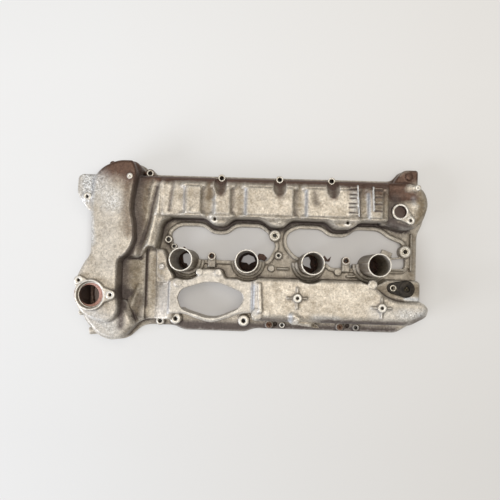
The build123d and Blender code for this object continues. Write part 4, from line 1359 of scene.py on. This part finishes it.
@dataclass
class Studio:
    """A pale table, soft light from the left and the camera above."""

    floor_drop: float = 0.4
    ambient: float = 0.36
    lamps: tuple[SoftLamp, ...] = (
        SoftLamp("window_left", (-1500, -750, 1000), 23.0, 900, "EEF3FF"),
        SoftLamp("ceiling", (100, 100, 1900), 18.0, 1300, "FFF8EC"),
    )
    # Painted shade on the table: dark under the closed chambers, and a lighter painted shadow under the
    # openings and to the right of the cover
    painted_table_shade: tuple[Touch, ...] = (
        Touch(((-238, 104), (-238, -96)), 46, grime_and_painted_shade=1.0, low=-5, high=5),
        Touch(((-120, 90), (245, 88)), 34, grime_and_painted_shade=1.0, low=-5, high=5),
        Touch(((-85, -20), (195, -20)), 120, grime_and_painted_shade=0.45, low=-5, high=5),
    )
    camera_place: Place = (12.08, -24.68, 1005.0)
    camera_tilt: Place = (1.972, 1.126, 1.800)
    lens: float = 43.92
    sensor: float = 36.0

    def build(self) -> None:
        """Sets up the floor, the lamps, the world and the camera."""
        self.floor()
        self.shine()
        self.world()
        self.camera()

    def floor(self) -> None:
        """Lays the pale table top."""
        table = self.table()
        table.data.materials.append(TablePaper().make())

    def table(self) -> bpy.types.Object:
        """Makes the table top, with the painted shade under and beside the cover marked.

        Returns:
            The table top.
        """
        across = np.concatenate(([-3000], np.arange(-300, 301, 6), [3000]))
        along = np.concatenate(([-3000], np.arange(-180, 181, 6), [3000]))
        grid = np.stack([*np.meshgrid(across, along, indexing="ij"),
                         np.full((len(across), len(along)), -self.floor_drop)], axis=-1)
        count = len(along)
        corners = [
            (i * count + j, (i + 1) * count + j, (i + 1) * count + j + 1, i * count + j + 1)
            for i in range(len(across) - 1) for j in range(count - 1)
        ]
        points = grid.reshape(-1, 3)
        mesh = bpy.data.meshes.new("table_top")
        mesh.from_pydata((points * MM).tolist(), [], corners)
        shades = [touch.grime_and_painted_shade * np.clip(3 * touch.weight(points), 0, 1) for touch in self.painted_table_shade]
        write_values(mesh, "painted_table_shade", np.max(shades, axis=0))
        return object_from(mesh, "table_top")

    def shine(self) -> None:
        """Hangs a large soft lamp low on the left and a weak one above."""
        for lamp in self.lamps:
            lamp.hang()

    def world(self) -> None:
        """Fills the room with even light."""
        world = bpy.data.worlds.new("PaleRoom")
        bpy.context.scene.world = world
        world.use_nodes = True
        tree = world.node_tree
        tree.nodes.clear()
        sky = add_node(tree, "ShaderNodeBackground", {"Color": linear("F3F2F0"), "Strength": self.ambient})
        add_node(tree, "ShaderNodeOutputWorld", {"Surface": sky.outputs[0]})

    def camera(self) -> None:
        """Hangs the camera almost straight above the cover."""
        lens = bpy.data.cameras.new("camera")
        lens.lens = self.lens
        lens.sensor_width = self.sensor
        holder = bpy.data.objects.new("camera", lens)
        holder.location = metres(*self.camera_place)
        holder.rotation_euler = Euler([math.radians(angle) for angle in self.camera_tilt])
        bpy.context.scene.collection.objects.link(holder)
        bpy.context.scene.camera = holder
        bpy.context.scene.view_settings.view_transform = "Standard"


def main() -> None:
    """Builds the cover and its studio."""
    logging.basicConfig(level=logging.INFO, format="%(name)s %(message)s")
    finishes = Finishes()
    CoverCasting().build(finishes)
    TowerSeals().build(finishes)
    Hardware().build(finishes)
    Studio().build()


if __name__ == "__main__":
    main()
